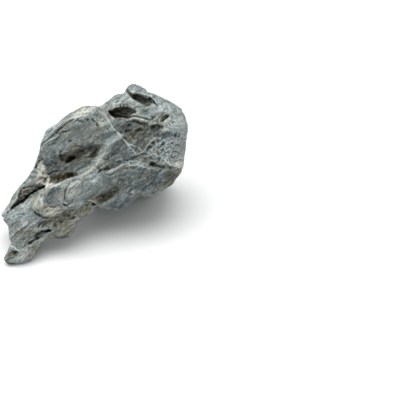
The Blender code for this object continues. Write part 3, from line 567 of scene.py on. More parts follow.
# Broad tones, by colour channel: how far they fade, strength, outline
TONES = {
    "crust": {
        "belly_hole_edge": (1.3, 0.55, 91, 199.6, 94.6, 197.8, 97.6, 198, 98.6, 200.4, 97, 203, 93.6, 202),
        "head_back_end": (3, 0.45, 90, 107, 97, 104, 104, 103, 108, 106, 100, 109, 93, 110),
        "gully_foot": (1.6, 0.7, 48, 183, 57, 184, 64, 182, 58, 184.6, 50, 188, 47, 187),
        "plate_end": (2.6, 0.8, 32, 205, 35, 199, 41, 192, 46, 188, 50, 189, 46, 195, 44, 202, 46, 207,
            54, 207, 62, 208, 67, 206, 68, 209, 60, 213, 52, 216, 44, 216, 37, 212.4),
        "plate_right": (4, 0.4, 69, 185, 76, 182, 82, 182, 80, 192, 76, 200, 69, 200),
        "crust": (1.6, 0.95, 36, 170, 38, 164, 41, 161, 45, 166, 46, 174, 49, 178, 49, 187, 45, 188,
            44, 184, 36, 184, 34, 180),
        "head_back": (4, 0.8, 72, 116, 76, 111, 85, 107, 93, 106.4, 97, 106, 92, 111, 88, 115, 80, 117),
        "temple": (2.5, 0.45, 97, 118, 103, 113, 107, 114, 110, 122, 104, 127, 100, 126),
        "right_rim": (2, 0.7, 172, 163, 180, 161, 185, 162, 184, 170, 176, 169),
    },
    "rust": {
        "belly_hole_rust": (1.6, 0.5, 99, 199.4, 103, 196.4, 110, 195.4, 112, 198, 105, 200.8),
        "lower_gully_gold": (2, 0.4, 49, 181, 52, 176, 60, 173.4, 74, 172, 72, 177, 63, 181, 56, 183),
        # eye_wall: the eye's olive-brown upper wall, made lighter with painted light
        "eye_wall": (1.6, 0.4, 109.4, 110, 113, 108, 118, 107, 124, 107.4, 128, 109, 124, 111.6, 118, 112.6,
            112.6, 112.4),
    },
    "quiet": {
        "head_quiet": (3, 0.9, 44, 148, 50, 139, 62, 132, 74, 126, 88, 122, 98, 124, 100, 134, 92, 143,
            80, 147, 68, 150, 58, 157, 47, 164, 43, 156),
        "mid_floor_quiet": (3, 0.7, 62, 172, 74, 166, 84, 166, 88, 172, 80, 178, 68, 180, 58, 180),
    },
    # Mostly painted shade: under the crown's edge and belly, in the pits and gullies, on the head's low side
    "shade": {
        "right_shade": (4, 0.13, 152, 146, 168, 140, 182, 142, 182, 158, 166, 158, 152, 156),
        "front_mid_shade": (4, 0.3, 108, 146, 120, 140, 134, 150, 128, 160, 110, 163, 104, 158),
        "lip_shade": (1.2, 0.35, 132, 95, 139, 95.4, 147, 99, 151, 101, 150, 105, 144, 105, 137, 101,
            132, 98),
        "eye_shade": (1.2, 0.25, 108, 111, 114, 108, 124, 107, 134, 110, 131, 115, 127, 118, 116, 117.4),
        "fin_shade": (3, 0.12, 4, 210, 10, 200, 18, 188, 28, 176, 35, 166, 36, 176, 28, 184, 18, 194,
            12, 204),
        "brow_shade": (4, 0.12, 110, 104, 118, 99, 130, 100, 142, 106, 150, 110, 158, 114, 150, 117,
            140, 112, 128, 106, 116, 106),
        "leg_slot_shade": (1, 0.35, 31, 243, 33.6, 239.6, 36, 235.6, 40, 232, 46, 230, 52, 229.4, 48, 232.6,
            43, 236, 38, 239.4, 33, 243),
        "leg_mid_shade": (4, 0.18, 14, 238, 22, 232, 34, 228, 34, 236, 24, 244, 16, 244),
        "leg_right_shade": (4, 0.22, 54, 226, 66, 219, 78, 215, 90, 211, 82, 222, 72, 234, 60, 236,
            52, 234),
        "front_dark_spread": (3, 0.45, 150, 126, 162, 124, 163, 129, 156, 136, 150, 134),
        "eye_shadow_patch": (4, 0.4, 128, 128, 134, 124, 142, 125, 150, 130, 146, 137, 136, 138),
        "eye_right": (2, 0.6, 122, 108, 131, 108.4, 136, 111, 132, 114, 127, 117.4, 121, 116, 119, 112),
        "eye_crescent": (1.2, 1.8, 107.6, 111, 110.4, 112, 113.4, 114.6, 118, 115.4, 122, 116, 127.4, 117.6,
            127.4, 119, 122, 117.8, 115, 118.4, 111, 115.6),
        "lip_pit_black": (1.2, 1.3, 133.6, 97.4, 136.6, 97.4, 139.6, 99.6, 139, 101.4, 136, 100.6,
            133.8, 99.4),
        "lip_pit_dark": (1.2, 0.7, 133, 95.6, 137, 95, 140, 97, 147, 100.6, 149, 102.4, 147, 104.4,
            141, 103, 136, 100.4, 132.6, 98),
        "lower_gully_dark": (1.8, 0.45, 53, 177, 60, 174, 74, 173, 73, 177, 64, 180.6, 56, 182.6),
        "belly_hole_core": (1.6, 0.5, 99, 198, 104, 194.6, 110, 194, 112, 197.6, 105, 200, 100, 200),
        "plate_dark": (4, 0.22, 44, 203, 46, 196, 50, 190, 56, 187, 60, 190, 58, 198, 52, 204),
        "belly_under": (5, 0.22, 110, 203, 120, 198, 134, 192, 150, 188, 160, 187, 150, 196, 138, 200,
            126, 206, 112, 209),
        "under_crown": (4, 0.62, 112, 123, 122, 121, 130, 122, 140, 123, 148, 126, 160, 125, 162, 129,
            155, 136, 146, 138, 136, 141, 126, 137, 116, 128),
        "front": (5, 0.6, 124, 140, 136, 138, 148, 138, 150, 146, 140, 150, 132, 148),
        "mid_floor": (3, 0.45, 44, 162, 52, 158, 60, 163, 76, 163, 90, 160, 90, 166, 80, 172, 56, 171,
            45, 170),
        "belly": (6, 0.42, 102, 177, 118, 171, 134, 168, 150, 170, 164, 172, 160, 182, 148, 192, 126, 194,
            108, 190),
        "right_low": (4, 0.52, 146, 170, 158, 169, 168, 172, 166, 184, 152, 190, 144, 184),
        "head": (5, 0.18, 44, 146, 56, 138, 72, 130, 94, 122, 100, 130, 96, 142, 84, 146, 68, 148, 58, 156,
            44, 160),
        "belly_left": (4, 0.22, 76, 198, 88, 194, 98, 190, 96, 197, 86, 199, 78, 204),
    },
    "tan": {
        "spine_warm": (3, 0.3, 84, 172, 92, 162, 100, 152, 106, 150, 104, 160, 96, 168, 88, 174),
        "head_warm": (4, 0.12, 64, 140, 78, 134, 94, 132, 96, 140, 84, 146, 68, 148),
        "leg_low_right": (3, 0.6, 29, 248, 38, 240, 50, 233, 53, 236, 46, 242, 38, 250, 31, 258, 27, 256),
        "front_brown": (4, 0.36, 116, 126, 126, 124, 140, 124, 152, 128, 150, 138, 140, 144, 130, 142,
            120, 136),
        "gully": (3, 0.7, 56, 164, 62, 156, 70, 150, 74, 146.6, 84, 147, 91, 149, 99, 147.6, 98, 153,
            93, 159, 80, 161.6, 70, 160, 64, 166),
        "eye_olive": (4, 0.42, 126, 126, 136, 122, 148, 126, 152, 134, 142, 142, 130, 138),
        "leg_low": (3, 0.8, 40, 218, 52, 217, 66, 211, 80, 207, 93, 206, 93, 211, 84, 218, 77, 228, 70, 236,
            60, 237, 52, 236, 56, 228, 46, 226),
        "leg_mid": (3, 0.4, 12, 240, 20, 231, 34, 223, 40, 228, 34, 236, 26, 244, 14, 246),
        "plate_under": (2, 0.6, 44, 208, 54, 207, 66, 207, 60, 213, 50, 216, 44, 214),
        "foot": (2, 0.4, 4, 261, 8, 251, 18, 251, 16, 258, 10, 263),
        "foot_right": (2, 0.4, 24, 262, 26, 256, 34, 250, 32, 256, 29, 261),
        "fin_side": (1.5, 0.9, 21, 188, 30, 184.4, 33, 187, 32, 191, 25, 195, 24, 200, 18, 203, 15, 203,
            18, 198, 19, 192),
    },
    # Paler bloom, and painted light: on the crown's top, the head, fin, foot, leg top and the cleft's wall
    "pale": {
        "head_bright": (4, 0.15, 60, 136, 74, 128, 92, 124, 100, 130, 92, 140, 78, 143, 66, 144),
        "leg_lobe": (3, 0.5, 54, 232, 62, 226, 72, 222, 80, 216, 76, 226, 70, 233, 60, 235),
        "cleft_wall": (1.5, 0.6, 19, 192, 24, 187.6, 31, 186, 36, 187, 32, 191, 25, 194.6, 20, 198),
        "fin_lit": (1.6, 0.6, 2, 214, 6, 204, 16, 188, 26, 175, 34, 164, 36, 172, 30, 184, 20, 188, 16, 200,
            8, 212),
        "foot_lit": (2.5, 0.6, 16, 250, 26, 248, 33, 250, 28, 262, 16, 264, 17, 257),
        "plate_face": (4, 0.45, 52, 190, 60, 185, 68, 181, 76, 178, 80, 184, 78, 194, 70, 200, 60, 202,
            54, 199),
        "head_lit": (2.5, 0.8, 38, 146, 42, 136, 46, 128, 58, 121, 72, 114, 88, 106, 97, 105, 97, 110,
            84, 116, 72, 119, 60, 127, 50, 136, 42, 145),
        "crown_top": (5, 0.75, 99, 112, 112, 97, 126, 91, 134, 84, 160, 96, 178, 105, 186, 118, 187, 134,
            176, 126, 162, 122, 148, 120, 138, 116, 130, 112, 126, 104, 112, 107, 106, 112),
        "crown_below_eye": (2, 0.5, 108, 114, 114, 120, 124, 120, 122, 124, 112, 124),
        "spine": (5, 1.3, 48, 188, 62, 183, 80, 175, 94, 164, 102, 151, 113, 142.4, 109, 152, 103, 162,
            94, 172, 74, 181),
        "leg_top": (2.5, 0.65, 9, 216, 16, 207, 26, 200, 34, 196, 40, 194, 34, 204, 36, 212, 38, 217,
            28, 222, 16, 231, 10, 240, 8, 228),
        "fin": (2, 0.6, 2, 213, 8, 202, 17, 189, 26, 176, 34, 164, 36, 168, 28, 180, 18, 192, 16, 199,
            6, 211),
    },
    "slate": {
        "roll": (2.5, 0.45, 128, 88, 131, 84.6, 136, 85, 144, 90, 142, 95, 136, 92, 130, 90.6),
        "gully_back": (3, 0.4, 76, 163, 84, 163, 85, 170, 80, 176, 75, 172),
        "belly_foot": (4, 0.5, 106, 204, 114, 200, 126, 198, 136, 196, 134, 203, 124, 209, 110, 210),
        "plate": (4, 0.55, 44, 203, 46, 196, 50, 190, 55, 187, 57, 192, 54, 199, 50, 204),
        "leg_blue": (4, 0.35, 9, 222, 20, 214, 34, 210, 30, 220, 16, 228, 10, 230),
    },
    "stain": {
        "lip_shelf": (1.2, 0.5, 128, 91.6, 130.4, 91.6, 134.6, 94, 134, 96, 131, 96.6, 128.6, 94.6),
        "lower_gully_roof": (2.6, 0.45, 50, 176, 54, 172, 62, 169, 72, 169, 76, 172, 70, 173.6, 60, 174.6,
            53, 178),
        "plate_bottom_dark": (2, 0.35, 46, 209, 54, 207.6, 62, 207.6, 58, 211, 50, 212),
        "foot_hollow": (1.2, 0.8, 12, 251, 18.6, 250.4, 18.4, 253, 15, 256, 12, 254.6),
        "gully_brown": (2.5, 0.5, 64, 166, 66, 158, 76, 154, 90, 154, 99, 148, 98, 154, 93, 159, 80, 161.6,
            70, 164),
        "gully_end": (1.6, 0.4, 91, 150, 99, 148.4, 98, 153, 93, 158),
        "lower_gully": (2.2, 1, 49, 182, 50, 176, 56, 173, 64, 172.6, 76, 171.6, 77, 175, 70, 178, 63, 182,
            57, 184),
        "side": (2, 0.8, 97, 171.5, 100, 167.6, 106, 163.4, 112, 161, 118, 163, 116, 167, 108, 169.4,
            102, 171.6),
        "belly_hole": (2.6, 0.8, 95, 201, 98, 197.4, 104, 195, 110, 193.6, 116, 191.6, 114, 196, 110.5, 200,
            103, 202, 97, 202),
        "right_belly": (2.5, 0.9, 164, 187, 168, 178, 174, 173, 182, 171, 178, 179, 170, 186),
    },
}

# The crumbly, sugary part at the right: how far it fades, outline
SUGAR = (4, 164, 122, 174, 116, 188, 118, 189, 136, 186, 150, 185, 170, 172, 166, 160, 162, 150, 162,
    148, 154, 154, 148, 162, 140, 170, 138, 176, 130, 166, 130)

# The smoother parts of the face
CALM = {
    "brow": (108, 106, 114, 97, 126, 93, 132, 96, 140, 105, 150, 108, 160, 112, 158, 118, 148, 117,
        138, 111, 130, 105, 118, 104),
    "leg_top": (10, 228, 14, 214, 26, 202, 36, 200, 36, 214, 26, 222, 14, 232),
    "gully_back": (44, 164, 58, 165, 76, 164, 86, 164, 82, 171, 58, 169, 46, 169),
    "under_eye": (108, 119, 114, 121, 126, 122, 120, 128, 110, 127),
}


def drawn(flat, outline, fade, strength=1.0):
    """How strongly what an outline holds covers each (u, v): in full inside it, fading across it."""
    outline = px(outline)
    cover = np.zeros(len(flat))
    near = near_path(flat, outline, fade)
    cover[near] = strength * smooth_step(0.5 + outline_depth(flat[near], outline) / (2 * fade))
    return cover


def stroke_cover(flat, path, half_width, core):
    """1 along a stroke as far as core half widths from it, fading to 0 at its reach, and weaker near
    its ends."""
    path = px(path)
    cover = np.zeros(len(flat))
    near = near_path(flat, path, STROKE_REACH * half_width)
    distance, to_end, _ = path_distance(flat[near], path)
    taper = smooth_step(STROKE_END + to_end / STROKE_TAPER)
    cover[near] = taper * smooth_step((STROKE_REACH - distance / half_width) / (STROKE_REACH - core))
    return cover


def points_of(mesh):
    points = np.empty(len(mesh.vertices) * 3, np.float32)
    mesh.vertices.foreach_get("co", points)
    return points.reshape(-1, 3).astype(float)


def set_points(mesh, points):
    points[:, 2] = np.maximum(points[:, 2], 0)
    mesh.vertices.foreach_set("co", points.astype(np.float32).ravel())
    mesh.update()


def normals_of(mesh):
    normals = np.empty(len(mesh.vertices) * 3, np.float32)
    mesh.vertex_normals.foreach_get("vector", normals)
    return normals.reshape(-1, 3).astype(float)


def push_out(stone, push):
    """Moves the skin out along its normals by so many millimetres."""
    mesh = stone.data
    set_points(mesh, points_of(mesh) + normals_of(mesh) * push[:, None] * MM)


def add(name, data):
    """A new object in the scene."""
    obj = bpy.data.objects.new(name, data)
    bpy.context.scene.collection.objects.link(obj)
    return obj


def apply_modifiers(obj):
    graph = bpy.context.evaluated_depsgraph_get()
    mesh = bpy.data.meshes.new_from_object(obj.evaluated_get(graph))
    obj.modifiers.clear()
    obj.data = mesh


def remesh(obj, voxel, smoothing):
    modifier = obj.modifiers.new("fuse", "REMESH")
    modifier.mode = "VOXEL"
    modifier.voxel_size = voxel * MM
    if smoothing:
        relax = obj.modifiers.new("relax", "SMOOTH")
        relax.factor = 0.5
        relax.iterations = smoothing
    apply_modifiers(obj)


def bedding_of(face):
    """Millimetres along the bedding, across it and into the stone."""
    cos, sin = math.cos(BEDDING_TURN), math.sin(BEDDING_TURN)
    along = face[:, 0] * cos + face[:, 1] * sin
    across = face[:, 1] * cos - face[:, 0] * sin
    return np.column_stack([along, across, face[:, 2]])


def front_share(mesh, face, turned):
    """1 where the skin belongs to the broad face and looks out of it, 0 elsewhere. Skin counts a
    little until the share of its normal that points back, along w, comes to turned."""
    looks_out = smooth_step((turned - normals_of(mesh) @ W_AXIS) / TURN_FADE)
    return looks_out * smooth_step((FRONT_DEPTH - face[:, 2]) / DEPTH_FADE)


def wander(points, strength, size, seed, axes=2):
    """Smooth offsets along each axis."""
    return strength * np.column_stack([gradient_noise(points / size, seed + i) for i in range(axes)])


def sketch(face, wanders):
    """Where face points appear from the eye, (u, v), wandering."""
    flat = to_sight(face)
    for strength, size, seed in wanders:
        flat = flat + wander(face, strength, size, seed)
    return flat


def calm_share(face):
    """The smoother parts of the broad face."""
    flat = sketch(face, CALM_WANDER)
    return np.max([drawn(flat, outline, CALM_FADE) for outline in CALM.values()], axis=0)


def sawtooth(x):
    """Steps that climb slowly and drop at once, from -0.5 to 0.5."""
    return x % 1 - 0.5


def weather(stone):
    """Long sharp-backed ribs and hollows along the bedding, over the whole stone, and shelves and
    bowls away from the broad face."""
    face = to_face(points_of(stone.data))
    bed = bedding_of(face)
    bends = [rough_noise(bed / BEND_SIZE, 11 + 5 * i, 2) for i in range(3)]
    bent = bed + BEND * np.column_stack(bends)
    ribs = ridged_noise(bent / RIBS, 31, 3)
    lines = ridged_noise(bent / LINES, 35, 2)
    first, _ = nearest_cells(bent / DENTS, 41)
    dents = np.clip(0.6 - first, 0, 1) * smooth_step(gradient_noise(bed / DENTED_PARTS, 42) + 0.5)
    relief = RIB_HEIGHT * (ribs - 0.45) + LINE_HEIGHT * (lines - 0.45) - DENT_DEPTH * dents
    push = (1 - 0.6 * calm_share(face)) * relief
    away = 1 - front_share(stone.data, face, turned=0.6)
    across = bent[:, 1]
    shelves = SHELF_HEIGHT * sawtooth(across / SHELF + 0.7 * rough_noise(bed / SHELF_WAVE, 46, 3))
    steps = STEP_HEIGHT * sawtooth(across / STEP + 0.8 * rough_noise(bed / STEP_WAVE, 48, 2))
    broken = smooth_step(rough_noise(face / BROKEN_PARTS, 50, 2) * 3 + 0.6)
    push -= away * (shelves + steps) * broken
    push -= away * (BOWL_DEPTH * np.clip(rough_noise(bed / BOWLS, 52, 3) + 0.2, 0, 1) - 0.6)
    raised = smooth_step(points_of(stone.data)[:, 2] / (GROUND_BAND * MM))
    push_out(stone, push * (0.1 + 0.9 * raised))


def carve(stone):
    """The named hollows, ledges and pits of the broad face, sunk along w."""
    skin = BVHTree.FromObject(stone, bpy.context.evaluated_depsgraph_get())
    face = to_face(points_of(stone.data))
    flat = sketch(face, CARVED_WANDER)
    front = front_share(stone.data, face, turned=0.3)
    push = np.zeros(len(face))
    for wall, depth, *outline in SCOOPS.values():
        push += depth * drawn(flat, outline, wall)
    for drop, reach, *path in EDGES.values():
        path = px(path)
        near = near_path(flat, path, reach)
        distance, to_end, side = path_distance(flat[near], path)
        low = np.where(side < 0, smooth_step(distance / LEDGE_DROP), 0)
        low *= 1 - smooth_step(distance / reach)
        rim = np.where(side >= 0, 1 - smooth_step(distance / LEDGE_LIP), 0)
        push[near] += (drop * low - LIP_SHARE * drop * rim) * smooth_step(to_end / LEDGE_TAPER)
    face[:, 2] += push * front
    open_share = front_share(stone.data, face, turned=0.8)
    for depth, lean, toward, _, *outline in PITS.values():
        outline = px(outline)
        near = near_path(flat, outline, 1)
        inside = smooth_step(outline_depth(flat[near], outline) / PIT_WALL) * open_share[near]
        near, inside = near[inside > 0], inside[inside > 0]
        seen = first_seen(skin, face[near])
        near, inside = near[seen], inside[seen]
        reach = outline @ toward
        share = np.clip((flat[near] @ toward - reach.min()) / np.ptp(reach), 0, 1)
        floor = rim_depth(skin, outline, flat[near]) + depth + lean * share
        floor = np.minimum(floor, back_depth(skin, face[near]) - LEAST_BACK)
        face[near, 2] += inside * (floor - face[near, 2])
    set_points(stone.data, to_world(face))


def rim_depth(skin, rim, flat):
    """How deep the plane through a pit's rim lies at each (u, v)."""
    away = rim - rim.mean(axis=0)
    rim = rim + RIM_STEP * away / np.linalg.norm(away, axis=1)[:, None]
    found = []
    for spot in to_world(np.column_stack([rim, np.zeros(len(rim))])):
        hit, _, _, _ = skin.ray_cast(CAMERA_SPOT, (Vector(spot) - CAMERA_SPOT).normalized())
        if hit is not None:
            found.append(to_face(np.array(hit)[None])[0])
    found = np.array(found)
    found = found[np.abs(found[:, 2] - np.median(found[:, 2])) < RIM_SPREAD]
    sight = to_sight(found)
    slopes, _, _, _ = np.linalg.lstsq(np.column_stack([sight, np.ones(len(sight))]), found[:, 2], rcond=None)
    return np.column_stack([flat, np.ones(len(flat))]) @ slopes


def first_seen(skin, face):
    """Whether each face point is on the first skin that the eye meets there."""
    seen = []
    for spot in to_world(face):
        sight = Vector(spot) - CAMERA_SPOT
        hit, _, _, distance = skin.ray_cast(CAMERA_SPOT, sight.normalized())
        seen.append(hit is None or sight.length - distance < SEEN_GAP)
    return np.array(seen, bool)


def back_depth(skin, face):
    """How deep the stone's far side lies behind each face point, as the eye sees it."""
    depths = []
    for spot in to_world(face):
        sight = (Vector(spot) - CAMERA_SPOT).normalized()
        hit, _, _, _ = skin.ray_cast(CAMERA_SPOT + sight * FAR_SIDE, -sight)
        depths.append(to_face(np.array(hit)[None])[0, 2] if hit is not None else FRONT_DEPTH)
    return np.array(depths)


def sugar_share(flat):
    fade, *outline = SUGAR
    return drawn(flat, outline, fade)


def score(stone):
    """The fine relief: the drawn strokes, streaks along the bedding, pock marks, lumps on the pits'
    floors, and sugary lumps at the right."""
    face = to_face(points_of(stone.data))
    bed = bedding_of(face)
    front = front_share(stone.data, face, turned=0.2)
    flat = sketch(face, FINE_WANDER)
    sugar = sugar_share(sketch(face, SUGAR_WANDER)) * front
    calm = calm_share(face) * front
    bent = bed + wander(bed, strength=1.5, size=8.0, seed=75, axes=3)
    streaks = ridged_noise(bent / STREAKS, 81, 3, 0.6)
    lumps = rough_noise(face / LUMPS, 85, 3, 0.65)
    first, _ = nearest_cells(bent / POCKS, 91)
    pocks = np.clip(0.34 - first, 0, 1) * smooth_step(gradient_noise(bed / POCKED_PARTS, 92) * 1.5 + 0.3)
    first, second = nearest_cells(bent / KNOTS, 93)
    knots = np.clip(second - first, 0, 0.5)
    floors = np.max([drawn(flat, outline, PIT_FADE) for _, _, _, _, *outline in PITS.values()], axis=0)
    push = (1 - 0.5 * calm) * (STREAK_HEIGHT * (streaks - 0.5) - POCK_DEPTH * pocks)
    push += (0.11 + 0.34 * sugar - 0.04 * calm) * lumps + KNOT_HEIGHT * sugar * (knots - 0.25)
    push += PIT_LUMP_HEIGHT * floors * rough_noise(face / PIT_LUMPS, 97, 2)
    ragged = 0.65 + 0.7 * np.clip(rough_noise(face / STROKE_PARTS, 95) + 0.5, 0, 1)
    for strokes in STROKES.values():
        for half_width, depth, _, *path in strokes.values():
            push -= depth * ragged * front * stroke_cover(flat, path, half_width, core=0.0)
    push_out(stone, push)


def triangles_of(mesh):
    return len(mesh.loops) - 2 * len(mesh.polygons)


def thin_out(stone):
    """Brings the skin under its count of triangles, first where it isn't the broad face."""
    mesh = stone.data
    fine = front_share(mesh, to_face(points_of(mesh)), turned=0.3)
    group = stone.vertex_groups.new(name="coarse")
    group.add(np.flatnonzero(fine < 0.5).tolist(), 1.0, "REPLACE")
    first_goal = 2 * np.count_nonzero(fine >= 0.5) + REST_TRIANGLES
    for group_name, goal in ((group.name, first_goal), ("", PIECE_TRIANGLES)):
        modifier = stone.modifiers.new("thin", "DECIMATE")
        modifier.ratio = min(1.0, goal / triangles_of(stone.data))
        modifier.vertex_group = group_name
        apply_modifiers(stone)
    stone.vertex_groups.clear()


def hollows(mesh, rounds):
    """How far each point lies below the average of its surroundings, in millimetres."""
    points = points_of(mesh)
    edges = np.empty(len(mesh.edges) * 2, np.int32)
    mesh.edges.foreach_get("vertices", edges)
    a, b = edges.reshape(-1, 2).T
    count = len(points)
    valence = np.bincount(a, minlength=count) + np.bincount(b, minlength=count)
    mean = points
    for _ in range(rounds):
        total = np.empty_like(mean)
        for axis in range(3):
            total[:, axis] = np.bincount(a, mean[b, axis], count) + np.bincount(b, mean[a, axis], count)
        mean = total / valence[:, None]
    return np.sum((mean - points) * normals_of(mesh), axis=1) / MM


def store(mesh, name, values):
    values = np.asarray(values, np.float32)
    if values.ndim == 1:
        mesh.attributes.new(name, "FLOAT", "POINT").data.foreach_set("value", values)
    else:
        mesh.attributes.new(name, "FLOAT_VECTOR", "POINT").data.foreach_set("vector", values.ravel())


def lay(cover, channel, share):
    """Covers a channel at least as strongly as share."""
    cover[channel] = np.maximum(cover[channel], share)


def paint(stone):
    """Stores where each colour, painted shade and painted light lies, for the material to read."""
    mesh = stone.data
    face = to_face(points_of(mesh))
    bed = bedding_of(face)
    front = front_share(mesh, face, turned=0.3)
    flat = sketch(face, FINE_WANDER)
    wide = sketch(face, TONE_WANDER)
    cover = {channel: np.zeros(len(face)) for channel in {**TONES, **STROKES}}
    blotchy = np.clip(1 + 1.1 * rough_noise(bed / BLOTCHES, 131, 3), 0.4, 1.5)
    for channel, tones in TONES.items():
        for fade, strength, *outline in tones.values():
            lay(cover, channel, blotchy * drawn(wide, outline, fade, strength))
    for channel, strokes in STROKES.items():
        for half_width, _, strength, *path in strokes.values():
            lay(cover, channel, strength * stroke_cover(flat, path, half_width, core=0.5))
    for share in cover.values():
        share *= front
    brown = [drawn(flat, outline, PIT_FADE, strength) for _, _, _, strength, *outline in PITS.values()]
    lay(cover, "stain", np.max(brown, axis=0) * front_share(mesh, face, turned=0.8))

    away = 1 - front
    broad = rough_noise(face / BROAD_PATCHES, 111, 3)
    small = rough_noise(face / SMALL_PATCHES, 115, 3)
    hollow_wide = hollows(mesh, WIDE_ROUNDS)
    damp = smooth_step((hollow_wide - 1.2) / 2.0) * smooth_step(small * 2 + 0.6)
    blocks = face + wander(face, strength=4.0, size=16.0, seed=121, axes=3)
    cracks = np.abs(rough_noise(blocks / CRACKED_BLOCKS, 125, 2))
    lay(cover, "crust", away * 0.8 * smooth_step((broad - 0.3) * 4))
    lay(cover, "stain", away * damp)
    # Paler where the skin faces up: partly dust, partly painted top light
    lay(cover, "pale", away * 0.8 * np.clip(normals_of(mesh)[:, 2], 0, 1))
    lay(cover, "slate", away * 0.6 * smooth_step((small - 0.25) * 4))
    lay(cover, "vein", away * 0.85 * (1 - smooth_step(cracks / CRACK_LEVEL)))
    for channel, share in cover.items():
        store(mesh, channel, share)
    store(mesh, "bedding", bed / 10)  # in centimetres
    store(mesh, "sugar", sugar_share(wide) * front)
    # Hollows and crests, for the material's painted shade in hollows and painted highlights on crests
    store(mesh, "hollow_fine", hollows(mesh, FINE_ROUNDS))
    store(mesh, "hollow_wide", hollow_wide)


def grow_stone():
    """The stone's visible skin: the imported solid's mesh, weathered, carved and grained."""
    stone = add("stone_skin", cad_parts["seiryu_stone"].data.copy())
    stone.data.materials.clear()
    remesh(stone, BASE_VOXEL, smoothing=6)
    weather(stone)
    remesh(stone, CARVE_VOXEL, smoothing=1)
    carve(stone)
    remesh(stone, SKIN_VOXEL, smoothing=0)
    score(stone)
    thin_out(stone)
    for polygon in stone.data.polygons:
        polygon.use_smooth = True
    paint(stone)
    return stone


# Materials: each colour runs from its hollows and dark grains to its lit, pale grains

STONE = ((0.0, (0.026, 0.034, 0.036)), (0.30, (0.083, 0.101, 0.101)), (0.55, (0.185, 0.217, 0.214)),
         (0.80, (0.345, 0.398, 0.394)), (1.0, (0.58, 0.64, 0.63)))
CREAM = ((0.0, (0.07, 0.064, 0.045)), (0.35, (0.205, 0.195, 0.15)), (0.7, (0.43, 0.43, 0.37)),
         (1.0, (0.70, 0.71, 0.64)))
BROWN = ((0.0, (0.006, 0.005, 0.004)), (0.5, (0.050, 0.045, 0.031)), (1.0, (0.19, 0.175, 0.13)))
SLATE = ((0.0, (0.019, 0.025, 0.029)), (0.5, (0.105, 0.128, 0.137)), (1.0, (0.33, 0.38, 0.39)))
WARM = ((0.0, (0.035, 0.032, 0.022)), (0.5, (0.155, 0.152, 0.115)), (1.0, (0.46, 0.46, 0.38)))
GREEN = ((0.0, (0.012, 0.014, 0.006)), (1.0, (0.16, 0.17, 0.11)))
RUST = ((0.0, (0.035, 0.027, 0.010)), (1.0, (0.30, 0.265, 0.145)))
CALCITE = (0.66, 0.70, 0.68)
SPREADS = (("tan", WARM), ("slate", SLATE), ("stain", BROWN), ("moss", GREEN), ("rust", RUST))
STONE_SPECULAR = 0.15
GRAIN_BUMP = 0.0008  # metres
FLOOR_COLOUR = (0.88, 0.88, 0.87)
FLOOR_ROUGHNESS = 0.9
FLOOR_SPECULAR = 0.2


class Shader:
    """Short calls for building a node material."""

    def __init__(self, name):
        self.material = bpy.data.materials.new(name)
        self.material.use_nodes = True
        self.tree = self.material.node_tree
        self.surface = self.tree.nodes["Principled BSDF"]

    def node(self, kind, inputs, output, **settings):
        node = self.tree.nodes.new("ShaderNode" + kind)
        for name, value in settings.items():
            setattr(node, name, value)
        for socket, value in inputs.items():
            self.feed(node.inputs[socket], value)
        return node.outputs[output]

    def feed(self, socket, value):
        if isinstance(value, bpy.types.NodeSocket):
            self.tree.links.new(value, socket)
        elif isinstance(value, tuple) and socket.type == "RGBA":
            socket.default_value = (*value, 1.0)
        else:
            socket.default_value = value

    def finish(self, colour, roughness, specular):
        """Sets the surface and gives the material."""
        self.feed(self.surface.inputs["Base Color"], colour)
        self.feed(self.surface.inputs["Roughness"], roughness)
        self.feed(self.surface.inputs["Specular IOR Level"], specular)
        return self.material

    def attribute(self, name, output="Fac"):
        return self.node("Attribute", {}, output, attribute_name=name)

    def product(self, a, b):
        return self.node("Math", {0: a, 1: b}, 0, operation="MULTIPLY")

    def sum(self, *parts):
        """The weighted sum of (value, weight) pairs."""
        total = 0.0
        for value, weight in parts:
            total = self.node("Math", {0: value, 1: weight, 2: total}, 0, operation="MULTIPLY_ADD")
        return total

    def step(self, value, low, high, top=1.0):
        """0 at low, top at high, straight between them."""
        return self.node("MapRange", {0: value, 1: low, 2: high, 3: 0.0, 4: top}, 0)

    def mix(self, share, a, b):
        return self.node("Mix", {0: share, 6: a, 7: b}, 2, data_type="RGBA")

    def ramp(self, value, stops):
        """The colour at value between the stops."""
        node = self.tree.nodes.new("ShaderNodeValToRGB")
        self.feed(node.inputs[0], value)
        elements = node.color_ramp.elements
        while len(elements) < len(stops):
            elements.new(0.5)
        for element, (place, _) in zip(elements, stops):
            element.position = place
        for element, (_, colour) in zip(elements, stops):
            element.color = (*colour, 1.0)
        return node.outputs[0]

    def stretch(self, vector, scale):
        return self.node("VectorMath", {0: vector, 1: scale}, 0, operation="MULTIPLY")

    def noise(self, vector, scale, detail, rough, bend=0.0):
        inputs = {"Vector": vector, "Scale": scale, "Detail": detail, "Roughness": rough, "Distortion": bend}
        return self.node("TexNoise", inputs, "Fac")


